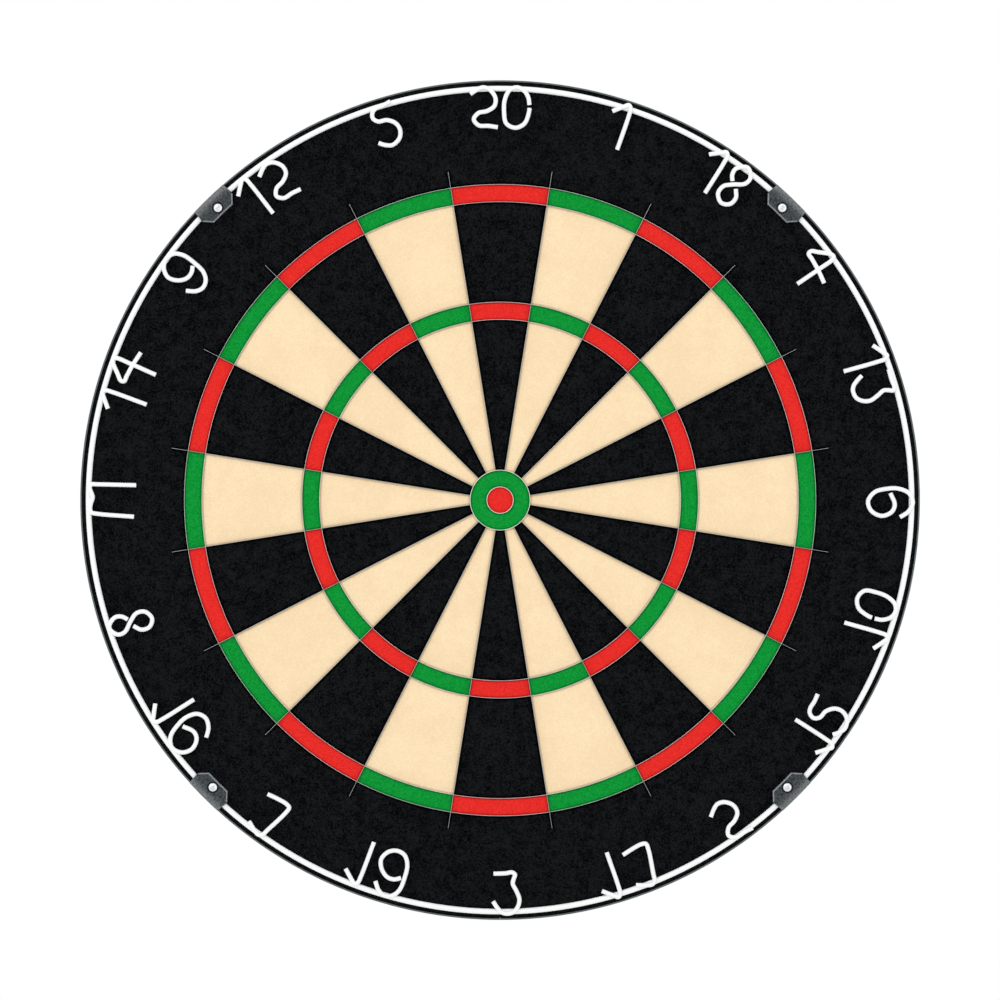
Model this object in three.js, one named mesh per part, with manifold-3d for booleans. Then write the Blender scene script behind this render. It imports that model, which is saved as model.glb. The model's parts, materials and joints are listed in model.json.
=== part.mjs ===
// Bristle dartboard: two layers of compressed sisal on a backboard, inside a steel band. Thin blades
// set on edge in the face mark the beds, a wire number ring is held by four pinned clips, and behind
// are the centre hanging screw and three levelling wheels.
//
// The board is drawn as the thrower sees it: x to the right, y up, z out of the face, and z = 0 on the
// back face. At the end it is stood up, so that +Z is up and the face looks along -Y.
// Lengths are millimetres. Angles round the board are degrees, clockwise from the twenty.

import * as THREE from 'three';
import { mergeVertices } from 'three/addons/utils/BufferGeometryUtils.js';
import Module from 'manifold-3d';

const wasm = await Module();
wasm.setup();

// Board and band
const boardDiameter = 451;
const boardDepth = 38;
const bandThickness = 0.9;
const coreClearance = 0.3;
const backboardThickness = 9.5;
const faceLayerThickness = 14;
const faceInset = 0.5;

// Joint that closes the band, at the foot of the board
const bandSeamWidth = 1.2;
const jointPlateLength = 46;
const jointPlateWidth = 6.5;
const jointPlateThickness = 1.2;
const jointPlateClearance = 0.3;
const rivetSpacing = 26;
const rivetShankRadius = 1.6;
const rivetHeadRadius = 2.6;
const rivetHeadHeight = 1;
const rivetClearance = 0.3;
const rivetHeadClearance = 0.6;
const rivetInset = 0.4;

// Scoring rings, each radius to the middle of its blade
const doubleOuterRadius = 169.6;
const trebleOuterRadius = 106.4;
const scoringBedWidth = 9.4;
const outerBullRadius = 16.1;
const innerBullRadius = 7.1;

// Blades
const bladeThickness = 0.6;
const bladeEdgeThickness = 0.3;
const bladeDepth = 10;
const bladeStand = 1;
// How far the blades run on past the doubles, as a share of the way to the clips, and their tail's share
const bladeOverhangShare = 0.2115;
const bladeTailShare = 0.32;
const bladeTailDrop = 1.6;
const lapClearance = 0.2;
const slotClearance = 0.2;

// Number ring: a wire hoop, and figures of thinner wire welded across its front
const hoopEdgeDistance = 4.4;
const hoopWireRadius = 1.5;
const figureWireRadius = 1.3;
const figureWeldDepth = 0.8;
const figureHeightShare = 0.1086;

// Ring clips: moulded bridges over the hoop, and their widths as shares of the hoop's radius
const clipWidthShare = 0.1004;
const clipOuterWidthShare = 0.0959;
const clipInnerWidthShare = 0.0633;
const clipInnerReach = 3.85;
const clipShoulderReach = 0.8;
const clipBridgeThickness = 1.2;
const clipBevel = 0.6;
const clipLipHeight = 1.2;
const clipCrownReach = 4;
const clipHoopClearance = 0.3;
const clipBandClearance = 0.6;
const clipPinDistance = 7.6;

// Clip pins
const pinHeadRadius = 2.5;
const pinHeadHeight = 1.1;
const pinShankRadius = 1;
const pinBite = 12;
const pinPointLength = 2;
const pinClearance = 0.3;
// The domed head, as shares of its radius and its height
const pinDomeShares = [[0.9, 0.6], [0.55, 0.9]];

// Hanging plate, its three screws and the hanging screw
const plateRadius = 25;
const plateThickness = 2;
const plateScrewDistance = 18;
const plateScrewHeadRadius = 3.2;
const plateScrewHeadHeight = 1.6;
const plateScrewHeadBevel = 0.9;
const plateScrewShankRadius = 1.6;
const plateScrewBite = 6;
const hangingHeadRadius = 10;
const hangingHeadHeight = 3;
const hangingHeadBevel = 1.2;
const hangingNeckRadius = 4;
const hangingNeckLength = 7;
const hangingShankRadius = 3;
const hangingShankFloor = 1.5;
const screwClearance = 0.3;

// Levelling wheels: the wheel is a captive nut that drives a keyed foot to the wall
const levellerEdgeDistance = 75.5;
const socketBodyRadius = 8;
const socketFloor = 1.5;
const socketFlangeRadius = 14;
const socketFlangeThickness = 1.5;
const socketCollarRadius = 7;
const socketCollarLength = 6.5;
const wheelRadius = 24;
const wheelLobeHeight = 0.9;
const wheelNutThickness = 2.7;
const wheelClearance = 0.4;
const footSpindleRadius = 4;
const footKeyFlat = 3;
const footSpindleInset = 1;
const footPadRadius = 11;
const footPadThickness = 2.5;
const footPadBevel = 0.8;

// Every cut runs this far past the face that it opens
const cutOverrun = 1;

// Counts and angles
const sectorCount = 20;
const rimSegments = 56;
// A corner of each ring falls on every radial blade: two stretches to a sector
const ringSegments = 2 * sectorCount;
const bullSegments = 20;
const hoopSegments = 56;
const discSegments = 18;
const holeSegments = 12;
const screwSegments = 8;
const wireSides = 5;
const clipCrownSteps = 3;
const clipAngles = [44, 135, 225, 316];
const levellerAngles = [0, 120, 240];
const plateScrewAngles = [60, 180, 300];
const wheelLobes = 12;
const wheelPointsPerLobe = 3;

// Places worked out from the sizes above
const boardRadius = boardDiameter / 2;
const bandInnerRadius = boardRadius - bandThickness;
const coreRadius = bandInnerRadius - coreClearance;
const faceHeight = boardDepth - faceInset;
const layerHeight = faceHeight - faceLayerThickness;
const doubleInnerRadius = doubleOuterRadius - scoringBedWidth;
const trebleInnerRadius = trebleOuterRadius - scoringBedWidth;
const bladeEdgeHeight = faceHeight + bladeStand;
const bladeRootHeight = bladeEdgeHeight - bladeDepth;
const ringRootHeight = (bladeEdgeHeight + bladeRootHeight) / 2;
const bladeInnerEnd = outerBullRadius + bladeThickness / 2 + lapClearance;
const slotHalfWidth = bladeThickness / 2 + slotClearance;
const hoopRadius = boardRadius - hoopEdgeDistance;
const hoopHeight = faceHeight + hoopWireRadius;
const figureHeight = hoopRadius * figureHeightShare;
const figureWireHeight = hoopHeight + hoopWireRadius + figureWireRadius - figureWeldDepth;
const clipWidth = hoopRadius * clipWidthShare;
const clipOuterWidth = hoopRadius * clipOuterWidthShare;
const clipInnerWidth = hoopRadius * clipInnerWidthShare;
const clipPinRadius = boardRadius - clipPinDistance;
const clipBridgeHeight = faceHeight + 2 * hoopWireRadius + clipHoopClearance;
const clipTopHeight = clipBridgeHeight + clipBridgeThickness;
const clipLipFloor = boardDepth + clipHoopClearance;
const pinPointHeight = faceHeight - pinBite;
const clipInnerRadius = clipPinRadius - clipInnerReach;
const bladeOverhang = (clipInnerRadius - doubleOuterRadius) * bladeOverhangShare;
const bladeReach = doubleOuterRadius + bladeOverhang;
const bladeTailLength = bladeOverhang * bladeTailShare;
const levellerDistance = boardRadius - levellerEdgeDistance;
const scoringRings = [
  ['double_outer_blade', doubleOuterRadius],
  ['double_inner_blade', doubleInnerRadius],
  ['treble_outer_blade', trebleOuterRadius],
  ['treble_inner_blade', trebleInnerRadius],
];
const bullRings = [
  ['outer_bull_blade', outerBullRadius],
  ['inner_bull_blade', innerBullRadius],
];

// The wires of each figure, as shares of the figure height from the middle of the figure: the points
// that a wire bends through, x to the right and y up. Only the four has a second wire, its crossbar.
const figureShares = {
  zero: [[[0.29, 0.06], [0.26, 0.24], [0.15, 0.4], [0, 0.46], [-0.16, 0.4], [-0.27, 0.19],
    [-0.29, -0.08], [-0.24, -0.36], [-0.03, -0.46], [0.18, -0.36], [0.28, -0.1], [0.29, -0.01]]],
  one: [[[-0.2, 0.28], [0.03, 0.46], [0.12, 0.52], [0.18, 0.46], [0.19, 0.3], [0.16, -0.53]]],
  two: [[[-0.3, 0.3], [-0.12, 0.43], [0, 0.48], [0.15, 0.4], [0.27, 0.19], [0.24, 0.01],
    [0.07, -0.1], [-0.13, -0.14], [-0.24, -0.28], [-0.13, -0.42], [0.09, -0.44], [0.3, -0.48]]],
  three: [[[-0.28, 0.45], [-0.01, 0.46], [0.13, 0.49], [0.2, 0.44], [0.17, 0.33], [0.15, 0.21],
    [0.23, 0.06], [0.29, -0.13], [0.27, -0.3], [0.17, -0.44], [0.02, -0.49], [-0.1, -0.46],
    [-0.2, -0.34], [-0.29, -0.18]]],
  four: [[[0, -0.52], [0.07, 0.17], [0.09, 0.42], [0.06, 0.51], [-0.01, 0.51], [-0.25, 0.31],
    [-0.37, 0.2], [-0.36, 0.12], [-0.25, 0.1]], [[-0.28, 0.11], [0.05, 0.05], [0.38, -0.04]]],
  five: [[[0.27, 0.48], [0.07, 0.44], [-0.09, 0.43], [-0.19, 0.37], [-0.23, 0.24], [-0.14, 0.13],
    [0.06, 0.1], [0.23, -0.03], [0.28, -0.2], [0.21, -0.38], [0.01, -0.48], [-0.15, -0.43],
    [-0.28, -0.34]]],
  six: [[[0.33, 0.22], [0.2, 0.41], [0, 0.51], [-0.21, 0.43], [-0.32, 0.19], [-0.32, -0.07],
    [-0.24, -0.36], [-0.03, -0.51], [0.19, -0.43], [0.3, -0.2], [0.21, 0.03], [0.04, 0.1],
    [-0.22, 0]]],
  seven: [[[-0.3, 0.4], [-0.03, 0.45], [0.18, 0.47], [0.28, 0.44], [0.29, 0.33], [0.18, -0.27],
    [0.15, -0.42], [0.07, -0.47], [-0.06, -0.44], [-0.28, -0.35]]],
  eight: [[[-0.09, 0.05], [-0.18, 0.17], [-0.19, 0.33], [0.01, 0.5], [0.2, 0.35], [0.18, 0.17],
    [-0.04, -0.01], [-0.19, -0.17], [-0.19, -0.37], [-0.01, -0.5], [0.17, -0.41], [0.2, -0.22],
    [0.08, -0.05]]],
  nine: [[[0.23, -0.05], [0.08, -0.12], [-0.09, -0.1], [-0.26, 0.05], [-0.31, 0.26], [-0.19, 0.46],
    [0, 0.53], [0.19, 0.47], [0.3, 0.27], [0.32, -0.02], [0.27, -0.33], [0.14, -0.49],
    [-0.04, -0.53], [-0.19, -0.45], [-0.32, -0.26]]],
  eleven: [[[-0.36, -0.48], [-0.29, 0.37], [-0.26, 0.49], [-0.18, 0.52], [-0.06, 0.5], [0.08, 0.46],
    [0.2, 0.5], [0.29, 0.53], [0.36, 0.48], [0.36, 0.37], [0.34, -0.53]]],
};

// The figures of each number, clockwise from the twenty: the wire, the place of its middle from the
// hoop as shares of the figure height when the number is read upright, its lean in degrees
// anticlockwise, and -1 where the wire is turned over left to right or top to bottom
const numberShares = [
  [['two', -0.36, -0.42, 2, 1, 1], ['zero', 0.37, -0.44, 0, 1, 1]],
  [['one', -0.09, -0.43, 1, 1, 1]],
  [['one', -0.52, -0.45, 6, 1, 1], ['eight', 0.1, -0.42, 0, 1, 1]],
  [['four', -0.04, -0.46, 4, 1, 1]],
  [['one', -0.51, -0.47, 0, 1, 1], ['three', 0.14, -0.49, -4, 1, 1]],
  [['six', 0.06, -0.47, 0, 1, 1]],
  [['one', -0.36, 0.51, 0, 1, -1], ['zero', 0.36, 0.47, 0, -1, -1]],
  [['one', -0.23, 0.44, 1, 1, -1], ['five', 0.39, 0.42, 0, 1, 1]],
  [['two', -0.03, 0.41, 2, 1, 1]],
  [['one', -0.32, 0.47, -1, 1, -1], ['seven', 0.49, 0.42, 4, 1, 1]],
  [['three', 0.14, 0.42, 0, 1, 1]],
  [['one', -0.5, 0.55, -5, 1, -1], ['nine', 0.28, 0.53, 4, 1, 1]],
  [['seven', -0.05, 0.43, 0, 1, 1]],
  [['one', -0.63, 0.54, -6, 1, -1], ['six', 0.14, 0.51, 7, 1, 1]],
  [['eight', 0.06, 0.49, -7, 1, -1]],
  [['eleven', -0.01, -0.54, 0, 1, 1]],
  [['one', -0.55, -0.5, 0, 1, 1], ['four', 0.29, -0.5, 0, 1, 1]],
  [['nine', -0.03, -0.52, 0, 1, 1]],
  [['one', -0.54, -0.52, 4, 1, 1], ['two', 0.19, -0.48, 0, 1, 1]],
  [['five', 0.16, -0.43, 0, 1, 1]],
];
const firstInwardNumber = 6;
const lastInwardNumber = 14;

// Materials
const finish = (color, roughness, metalness) =>
  new THREE.MeshStandardMaterial({ color, roughness, metalness });
const finishes = {
  band: finish(0x2b2d2f, 0.45, 0.8),
  fibreboard: finish(0x8a6a45, 0.9, 0),
  sisalFace: finish(0x141719, 0.95, 0),
  sisalRear: finish(0xc9a877, 0.95, 0),
  blade: finish(0xb9bcbf, 0.3, 1),
  ringWire: finish(0xf9fafa, 0.4, 0),
  clip: finish(0x464b4e, 0.55, 0),
  steel: finish(0xc4c8cb, 0.3, 1),
  blackPlastic: finish(0x1b1c1e, 0.5, 0),
};

// Solids

// A closed three.js geometry as a solid that can be cut and joined
function solid(geometry) {
  const bare = geometry.clone();
  bare.deleteAttribute('normal');
  bare.deleteAttribute('uv');
  const merged = mergeVertices(bare);
  return new wasm.Manifold(new wasm.Mesh({
    numProp: 3,
    vertProperties: new Float32Array(merged.attributes.position.array),
    triVerts: new Uint32Array(merged.index.array),
  }));
}

// A solid as a three.js geometry
function geometryOf(body) {
  const mesh = body.getMesh();
  const geometry = new THREE.BufferGeometry();
  geometry.setAttribute('position', new THREE.BufferAttribute(mesh.vertProperties, 3));
  geometry.setIndex(new THREE.BufferAttribute(mesh.triVerts, 1));
  geometry.computeVertexNormals();
  return geometry;
}

// The first solid less all the others
function cut(body, tools) {
  return tools.reduce((left, tool) => left.subtract(tool), body);
}

// A geometry turned clockwise round the board's axis
function turned(geometry, degrees) {
  return geometry.rotateZ(-THREE.MathUtils.degToRad(degrees));
}

// A round bar along z
function rod(radius, low, high, segments = holeSegments) {
  const bar = new THREE.CylinderGeometry(radius, radius, high - low, segments);
  return bar.rotateX(Math.PI / 2).translate(0, 0, (low + high) / 2);
}

// A body of revolution round z, from the closed outline of [radius, height] points
function revolve(outline, segments) {
  const points = [...outline, outline[0]].map(([radius, height]) => new THREE.Vector2(radius, height));
  return new THREE.LatheGeometry(points, segments).rotateX(Math.PI / 2);
}

// A body of revolution that is solid to its axis: the outline starts and ends on the axis
function turning(outline, segments) {
  const points = outline.map(([radius, height]) => new THREE.Vector2(radius, height));
  return new THREE.LatheGeometry(points, segments).rotateX(Math.PI / 2);
}

// A square-edged wall round z
function wall(innerRadius, outerRadius, low, high, segments) {
  const outline = [[innerRadius, low], [outerRadius, low], [outerRadius, high], [innerRadius, high]];
  return revolve(outline, segments);
}

// A block centred on x and y, between two heights
function block(width, length, low, high) {
  return new THREE.BoxGeometry(width, length, high - low).translate(0, 0, (low + high) / 2);
}

// The corners of a regular polygon
function polygon(radius, sides) {
  return Array.from({ length: sides }, (_, i) => {
    const angle = (2 * Math.PI * i) / sides;
    return new THREE.Vector2(radius * Math.cos(angle), radius * Math.sin(angle));
  });
}

const sectorAngle = 360 / sectorCount;
const bladeAngles = Array.from({ length: sectorCount }, (_, i) => (i + 0.5) * sectorAngle);

// Band, backboard and sisal

function bandGeometry() {
  const seamTop = boardDepth + cutOverrun;
  const seam = block(bandSeamWidth, 2 * bandThickness + 2 * cutOverrun, -cutOverrun, seamTop)
    .translate(0, bandInnerRadius, 0);
  return geometryOf(cut(solid(wall(bandInnerRadius, boardRadius, 0, boardDepth, rimSegments)), [
    solid(turned(seam, 180)),
    ...rivetPlaces.map((place) => solid(place(rivetHole()))),
  ]));
}

// Rivets stand either side of the seam, halfway up the backboard, along the radius
const jointHeight = backboardThickness / 2;
const rivetAngle = THREE.MathUtils.radToDeg(rivetSpacing / 2 / boardRadius);
const rivetPlaces = [-rivetAngle, rivetAngle].map((angle) => (geometry) =>
  turned(geometry.rotateX(-Math.PI / 2).translate(0, 0, jointHeight), 180 + angle));
const jointPlateOuter = bandInnerRadius - jointPlateClearance;
const jointPlateInner = jointPlateOuter - jointPlateThickness;
const rivetHeadOuter = jointPlateInner - rivetHeadClearance;
const rivetHeadInner = rivetHeadOuter - rivetHeadHeight;

function rivetHole() {
  const low = rivetHeadInner - cutOverrun;
  return rod(rivetShankRadius + rivetClearance, low, boardRadius + cutOverrun, screwSegments);
}

function rivetGeometry() {
  return turning([
    [0, rivetHeadInner],
    [rivetHeadRadius, rivetHeadInner],
    [rivetHeadRadius, rivetHeadOuter],
    [rivetShankRadius, rivetHeadOuter],
    [rivetShankRadius, boardRadius - rivetInset],
    [0, boardRadius - rivetInset],
  ], screwSegments);
}

// The stretch of a wall that lies within the joint's length
function jointStretch(innerRadius, outerRadius, halfWidth, length) {
  const low = jointHeight - halfWidth;
  const high = jointHeight + halfWidth;
  const ring = solid(wall(innerRadius, outerRadius, low, high, rimSegments));
  const window = block(length, boardRadius, low, high).translate(0, boardRadius, 0);
  return ring.intersect(solid(turned(window, 180)));
}

function jointPlateGeometry() {
  const plate = jointStretch(jointPlateInner, jointPlateOuter, jointPlateWidth / 2, jointPlateLength);
  return geometryOf(cut(plate, rivetPlaces.map((place) => solid(place(rivetHole())))));
}

// The pocket in the backboard's edge that clears the plate and the rivet heads
function jointPocket() {
  const inner = rivetHeadInner - 2 * jointPlateClearance;
  const halfWidth = jointPlateWidth / 2 + jointPlateClearance;
  return jointStretch(inner, bandInnerRadius, halfWidth, jointPlateLength + 2 * jointPlateClearance);
}

function backboardGeometry() {
  return geometryOf(cut(solid(rod(coreRadius, 0, backboardThickness, rimSegments)), [
    jointPocket(),
    ...backPockets(),
  ]));
}

function rearSisalGeometry() {
  const layer = rod(coreRadius, backboardThickness, layerHeight, rimSegments);
  return geometryOf(cut(solid(layer), [...backPockets(), ...pinHoles()]));
}

function faceSisalGeometry() {
  const layer = rod(coreRadius, layerHeight, faceHeight, rimSegments);
  return geometryOf(cut(solid(layer), [...bladeSlots(), ...pinHoles()]));
}

// The slots that the blades are pressed into
function bladeSlots() {
  const low = bladeRootHeight - slotClearance;
  const high = faceHeight + cutOverrun;
  const length = bladeReach + slotClearance - outerBullRadius;
  const radial = bladeAngles.map((angle) => {
    const slot = block(2 * slotHalfWidth, length, low, high);
    return solid(turned(slot.translate(0, outerBullRadius + length / 2, 0), angle));
  });
  const ring = (radius, segments) => solid(wall(radius - slotHalfWidth, radius + slotHalfWidth,
    ringRootHeight - slotClearance, high, segments));
  return [
    ...radial,
    ...scoringRings.map(([, radius]) => ring(radius, ringSegments)),
    ...bullRings.map(([, radius]) => ring(radius, bullSegments)),
  ];
}

function pinHoles() {
  const radius = pinShankRadius + pinClearance;
  return clipAngles.map((angle) => {
    const hole = rod(radius, pinPointHeight - pinClearance, clipTopHeight + cutOverrun, screwSegments);
    return solid(turned(hole.translate(0, clipPinRadius, 0), angle));
  });
}

// Holes that come in from the back, for the levellers and the hanging screw and its plate's screws
function backPockets() {
  const levellers = levellerAngles.map((angle) => {
    const pocket = rod(socketBodyRadius + screwClearance, -cutOverrun, socketDepth + screwClearance);
    return solid(turned(pocket.translate(0, levellerDistance, 0), angle));
  });
  return [...levellers, ...plateHoles()];
}

function plateHoles() {
  const shank = rod(hangingShankRadius + screwClearance, -plateThickness - cutOverrun,
    hangingShankEnd + screwClearance);
  const small = plateScrewAngles.map((angle) => {
    const hole = rod(plateScrewShankRadius + screwClearance, -plateThickness - cutOverrun,
      plateScrewBite + screwClearance, screwSegments);
    return solid(turned(hole.translate(0, plateScrewDistance, 0), angle));
  });
  return [solid(shank), ...small];
}

// Blades

// A thickness that narrows steadily from the root of a blade to its edge
function narrowed(geometry) {
  const position = geometry.attributes.position;
  for (let i = 0; i < position.count; i++) {
    const share = (position.getZ(i) - bladeRootHeight) / bladeDepth;
    const half = THREE.MathUtils.lerp(bladeThickness, bladeEdgeThickness, share) / 2;
    position.setX(i, Math.sign(position.getX(i)) * half);
  }
  return geometry;
}

// A radial blade on edge along y. The scoring rings drop into the notches in its upper half.
function radialBladeGeometry() {
  const notchHalf = bladeThickness / 2 + lapClearance;
  const notchFloor = ringRootHeight - lapClearance;
  const notches = scoringRings.flatMap(([, radius]) => [
    [radius + notchHalf, bladeEdgeHeight],
    [radius + notchHalf, notchFloor],
    [radius - notchHalf, notchFloor],
    [radius - notchHalf, bladeEdgeHeight],
  ]);
  const side = new THREE.Shape([
    [bladeInnerEnd, bladeRootHeight],
    [bladeReach, bladeRootHeight],
    [bladeReach, bladeEdgeHeight - bladeTailDrop],
    [bladeReach - bladeTailLength, bladeEdgeHeight],
    ...notches,
    [bladeInnerEnd, bladeEdgeHeight],
  ].map(([along, height]) => new THREE.Vector2(along, height)));
  const blade = new THREE.ExtrudeGeometry(side, { depth: bladeThickness, bevelEnabled: false });
  const axes = new THREE.Matrix4().makeBasis(
    new THREE.Vector3(0, 1, 0), new THREE.Vector3(0, 0, 1), new THREE.Vector3(1, 0, 0));
  blade.applyMatrix4(axes).translate(-bladeThickness / 2, 0, 0);
  return narrowed(blade);
}

// A ring's blade: as deep as the notches, with the same taper as the radial blades
function ringBladeGeometry(radius, segments) {
  const share = (ringRootHeight - bladeRootHeight) / bladeDepth;
  const rootHalf = THREE.MathUtils.lerp(bladeThickness, bladeEdgeThickness, share) / 2;
  const edgeHalf = bladeEdgeThickness / 2;
  return revolve([
    [radius - rootHalf, ringRootHeight],
    [radius + rootHalf, ringRootHeight],
    [radius + edgeHalf, bladeEdgeHeight],
    [radius - edgeHalf, bladeEdgeHeight],
  ], segments);
}

// Number ring

// A wire bent along a smooth curve, with a section at each point that it bends through
class BentWire extends THREE.CatmullRomCurve3 {
  getPointAt(share, target) {
    return this.getPoint(share, target);
  }

  getTangentAt(share, target) {
    return this.getTangent(share, target);
  }
}

// The wires of one figure, in their place on the ring
function figureWires([name, xShare, yShare, lean, leftRight, topBottom], index) {
  const leaning = THREE.MathUtils.degToRad(lean);
  const inward = index >= firstInwardNumber && index <= lastInwardNumber;
  const place = ([x, y]) => {
    const point = new THREE.Vector2(x * leftRight, y * topBottom);
    point.rotateAround(new THREE.Vector2(), leaning);
    point.add(new THREE.Vector2(xShare, yShare)).multiplyScalar(inward ? -figureHeight : figureHeight);
    return new THREE.Vector3(point.x, hoopRadius + point.y, figureWireHeight);
  };
  const section = new THREE.Shape(polygon(figureWireRadius, wireSides));
  return figureShares[name].map((points) => {
    const tube = new THREE.ExtrudeGeometry(section, {
      steps: points.length - 1,
      extrudePath: new BentWire(points.map(place), false, 'centripetal'),
    });
    return turned(tube, index * sectorAngle);
  });
}

function numberRingGeometry() {
  const section = polygon(hoopWireRadius, wireSides)
    .map(({ x, y }) => [hoopRadius + x, hoopHeight + y]);
  const wires = numberShares.flatMap((number, index) =>
    number.flatMap((figure) => figureWires(figure, index)));
  const hoop = solid(revolve(section, hoopSegments));
  return geometryOf(wires.reduce((ring, wire) => ring.add(solid(wire)), hoop));
}

// Ring clips and their pins

// The clip seen from the front: it narrows in a chamfer towards the beds
function clipPlan() {
  const outer = Math.sqrt(boardRadius ** 2 - (clipOuterWidth / 2) ** 2);
  return new THREE.Shape([
    [-clipOuterWidth / 2, outer],
    [-clipWidth / 2, clipPinRadius + clipShoulderReach],
    [-clipInnerWidth / 2, clipInnerRadius],
    [clipInnerWidth / 2, clipInnerRadius],
    [clipWidth / 2, clipPinRadius + clipShoulderReach],
    [clipOuterWidth / 2, outer],
    [0, boardRadius],
  ].map(([x, y]) => new THREE.Vector2(x, y)));
}

// The clip cut across: flat over the pin, then rounded down to the rim
function clipSide() {
  const side = new THREE.Shape();
  side.moveTo(clipInnerRadius, faceHeight);
  side.lineTo(boardRadius, faceHeight);
  side.lineTo(boardRadius, clipLipFloor + clipLipHeight);
  side.quadraticCurveTo(boardRadius, clipTopHeight, boardRadius - clipCrownReach, clipTopHeight);
  side.lineTo(clipInnerRadius, clipTopHeight);
  return side;
}

// The clip bridges the hoop and steps over the band
function clipGeometry() {
  const body = new THREE.ExtrudeGeometry(clipPlan(), {
    depth: clipTopHeight - faceHeight,
    bevelThickness: clipBevel,
    bevelSize: clipBevel,
    bevelOffset: -clipBevel,
    bevelSegments: 1,
  }).translate(0, 0, faceHeight - clipBevel);
  const side = new THREE.ExtrudeGeometry(clipSide(), {
    depth: clipWidth + 2 * cutOverrun,
    bevelEnabled: false,
    curveSegments: clipCrownSteps,
  });
  side.applyMatrix4(new THREE.Matrix4().makeBasis(
    new THREE.Vector3(0, 1, 0), new THREE.Vector3(0, 0, 1), new THREE.Vector3(1, 0, 0)));
  side.translate(-clipWidth / 2 - cutOverrun, 0, 0);
  const tunnelHalf = hoopWireRadius + clipHoopClearance;
  const tunnel = wall(hoopRadius - tunnelHalf, hoopRadius + tunnelHalf, faceHeight - cutOverrun,
    clipBridgeHeight, rimSegments);
  const step = wall(bandInnerRadius - clipBandClearance, boardRadius + cutOverrun,
    faceHeight - cutOverrun, clipLipFloor, rimSegments);
  const pinHole = rod(pinShankRadius + pinClearance, faceHeight - cutOverrun,
    clipTopHeight + cutOverrun, screwSegments).translate(0, clipPinRadius, 0);
  return geometryOf(cut(solid(body).intersect(solid(side)), [
    solid(tunnel),
    solid(step),
    solid(pinHole),
  ]));
}

function pinGeometry() {
  return turning([
    [0, pinPointHeight],
    [pinShankRadius, pinPointHeight + pinPointLength],
    [pinShankRadius, clipTopHeight],
    [pinHeadRadius, clipTopHeight],
    ...pinDomeShares.map(([across, up]) =>
      [pinHeadRadius * across, clipTopHeight + pinHeadHeight * up]),
    [0, clipTopHeight + pinHeadHeight],
  ], screwSegments).translate(0, clipPinRadius, 0);
}

// Hanging screw and plate

const hangingShankEnd = backboardThickness - hangingShankFloor;

function hangingPlateGeometry() {
  const plate = rod(plateRadius, -plateThickness, 0, discSegments);
  return geometryOf(cut(solid(plate), plateHoles()));
}

function hangingScrewGeometry() {
  const headTop = -plateThickness - hangingNeckLength;
  return turning([
    [0, headTop - hangingHeadHeight],
    [hangingHeadRadius - hangingHeadBevel, headTop - hangingHeadHeight],
    [hangingHeadRadius, headTop - hangingHeadHeight + hangingHeadBevel],
    [hangingHeadRadius, headTop],
    [hangingNeckRadius, headTop],
    [hangingNeckRadius, -plateThickness],
    [hangingShankRadius, -plateThickness],
    [hangingShankRadius, hangingShankEnd],
    [0, hangingShankEnd],
  ], discSegments);
}

function plateScrewGeometry() {
  return turning([
    [0, -plateThickness - plateScrewHeadHeight],
    [plateScrewHeadRadius - plateScrewHeadBevel, -plateThickness - plateScrewHeadHeight],
    [plateScrewHeadRadius, -plateThickness - plateScrewHeadHeight + plateScrewHeadBevel],
    [plateScrewHeadRadius, -plateThickness],
    [plateScrewShankRadius, -plateThickness],
    [plateScrewShankRadius, plateScrewBite - plateScrewShankRadius],
    [0, plateScrewBite],
  ], screwSegments).translate(0, plateScrewDistance, 0);
}

// Levellers

const socketDepth = backboardThickness - socketFloor;
const collarEnd = -socketFlangeThickness - socketCollarLength;
const wheelInner = -socketFlangeThickness - wheelClearance;
const wheelRecessEnd = collarEnd - wheelClearance;
const wheelOuter = wheelRecessEnd - wheelNutThickness;
const padFace = wheelOuter - wheelClearance - footPadThickness;

// The spindle, with the flat that keeps it from turning, grown on all sides by a clearance
function spindle(low, high, clearance) {
  const radius = footSpindleRadius + clearance;
  const flat = footKeyFlat + clearance;
  const bar = solid(rod(radius, low, high));
  const keep = new THREE.BoxGeometry(2 * radius + 2 * flat, 4 * radius, high - low + 2 * cutOverrun);
  keep.translate(-radius, 0, (low + high) / 2);
  return bar.intersect(solid(keep));
}

function socketGeometry() {
  const body = turning([
    [0, collarEnd],
    [socketCollarRadius, collarEnd],
    [socketCollarRadius, -socketFlangeThickness],
    [socketFlangeRadius, -socketFlangeThickness],
    [socketFlangeRadius, 0],
    [socketBodyRadius, 0],
    [socketBodyRadius, socketDepth],
    [0, socketDepth],
  ], holeSegments);
  return geometryOf(cut(solid(body), [
    spindle(collarEnd - cutOverrun, socketDepth + cutOverrun, screwClearance),
  ]));
}

function wheelGeometry() {
  const pointCount = wheelLobes * wheelPointsPerLobe;
  const outline = Array.from({ length: pointCount }, (_, i) => {
    const angle = (2 * Math.PI * i) / pointCount;
    const radius = wheelRadius - wheelLobeHeight * (1 - Math.cos(angle * wheelLobes)) / 2;
    return new THREE.Vector2(radius * Math.cos(angle), radius * Math.sin(angle));
  });
  const disc = new THREE.ExtrudeGeometry(new THREE.Shape(outline), {
    depth: wheelInner - wheelOuter,
    bevelEnabled: false,
  }).translate(0, 0, wheelOuter);
  const recess = rod(socketCollarRadius + wheelClearance, wheelRecessEnd, wheelInner + cutOverrun);
  const nut = rod(footSpindleRadius + wheelClearance, wheelOuter - cutOverrun, wheelInner);
  return geometryOf(cut(solid(disc), [solid(recess), solid(nut)]));
}

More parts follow.
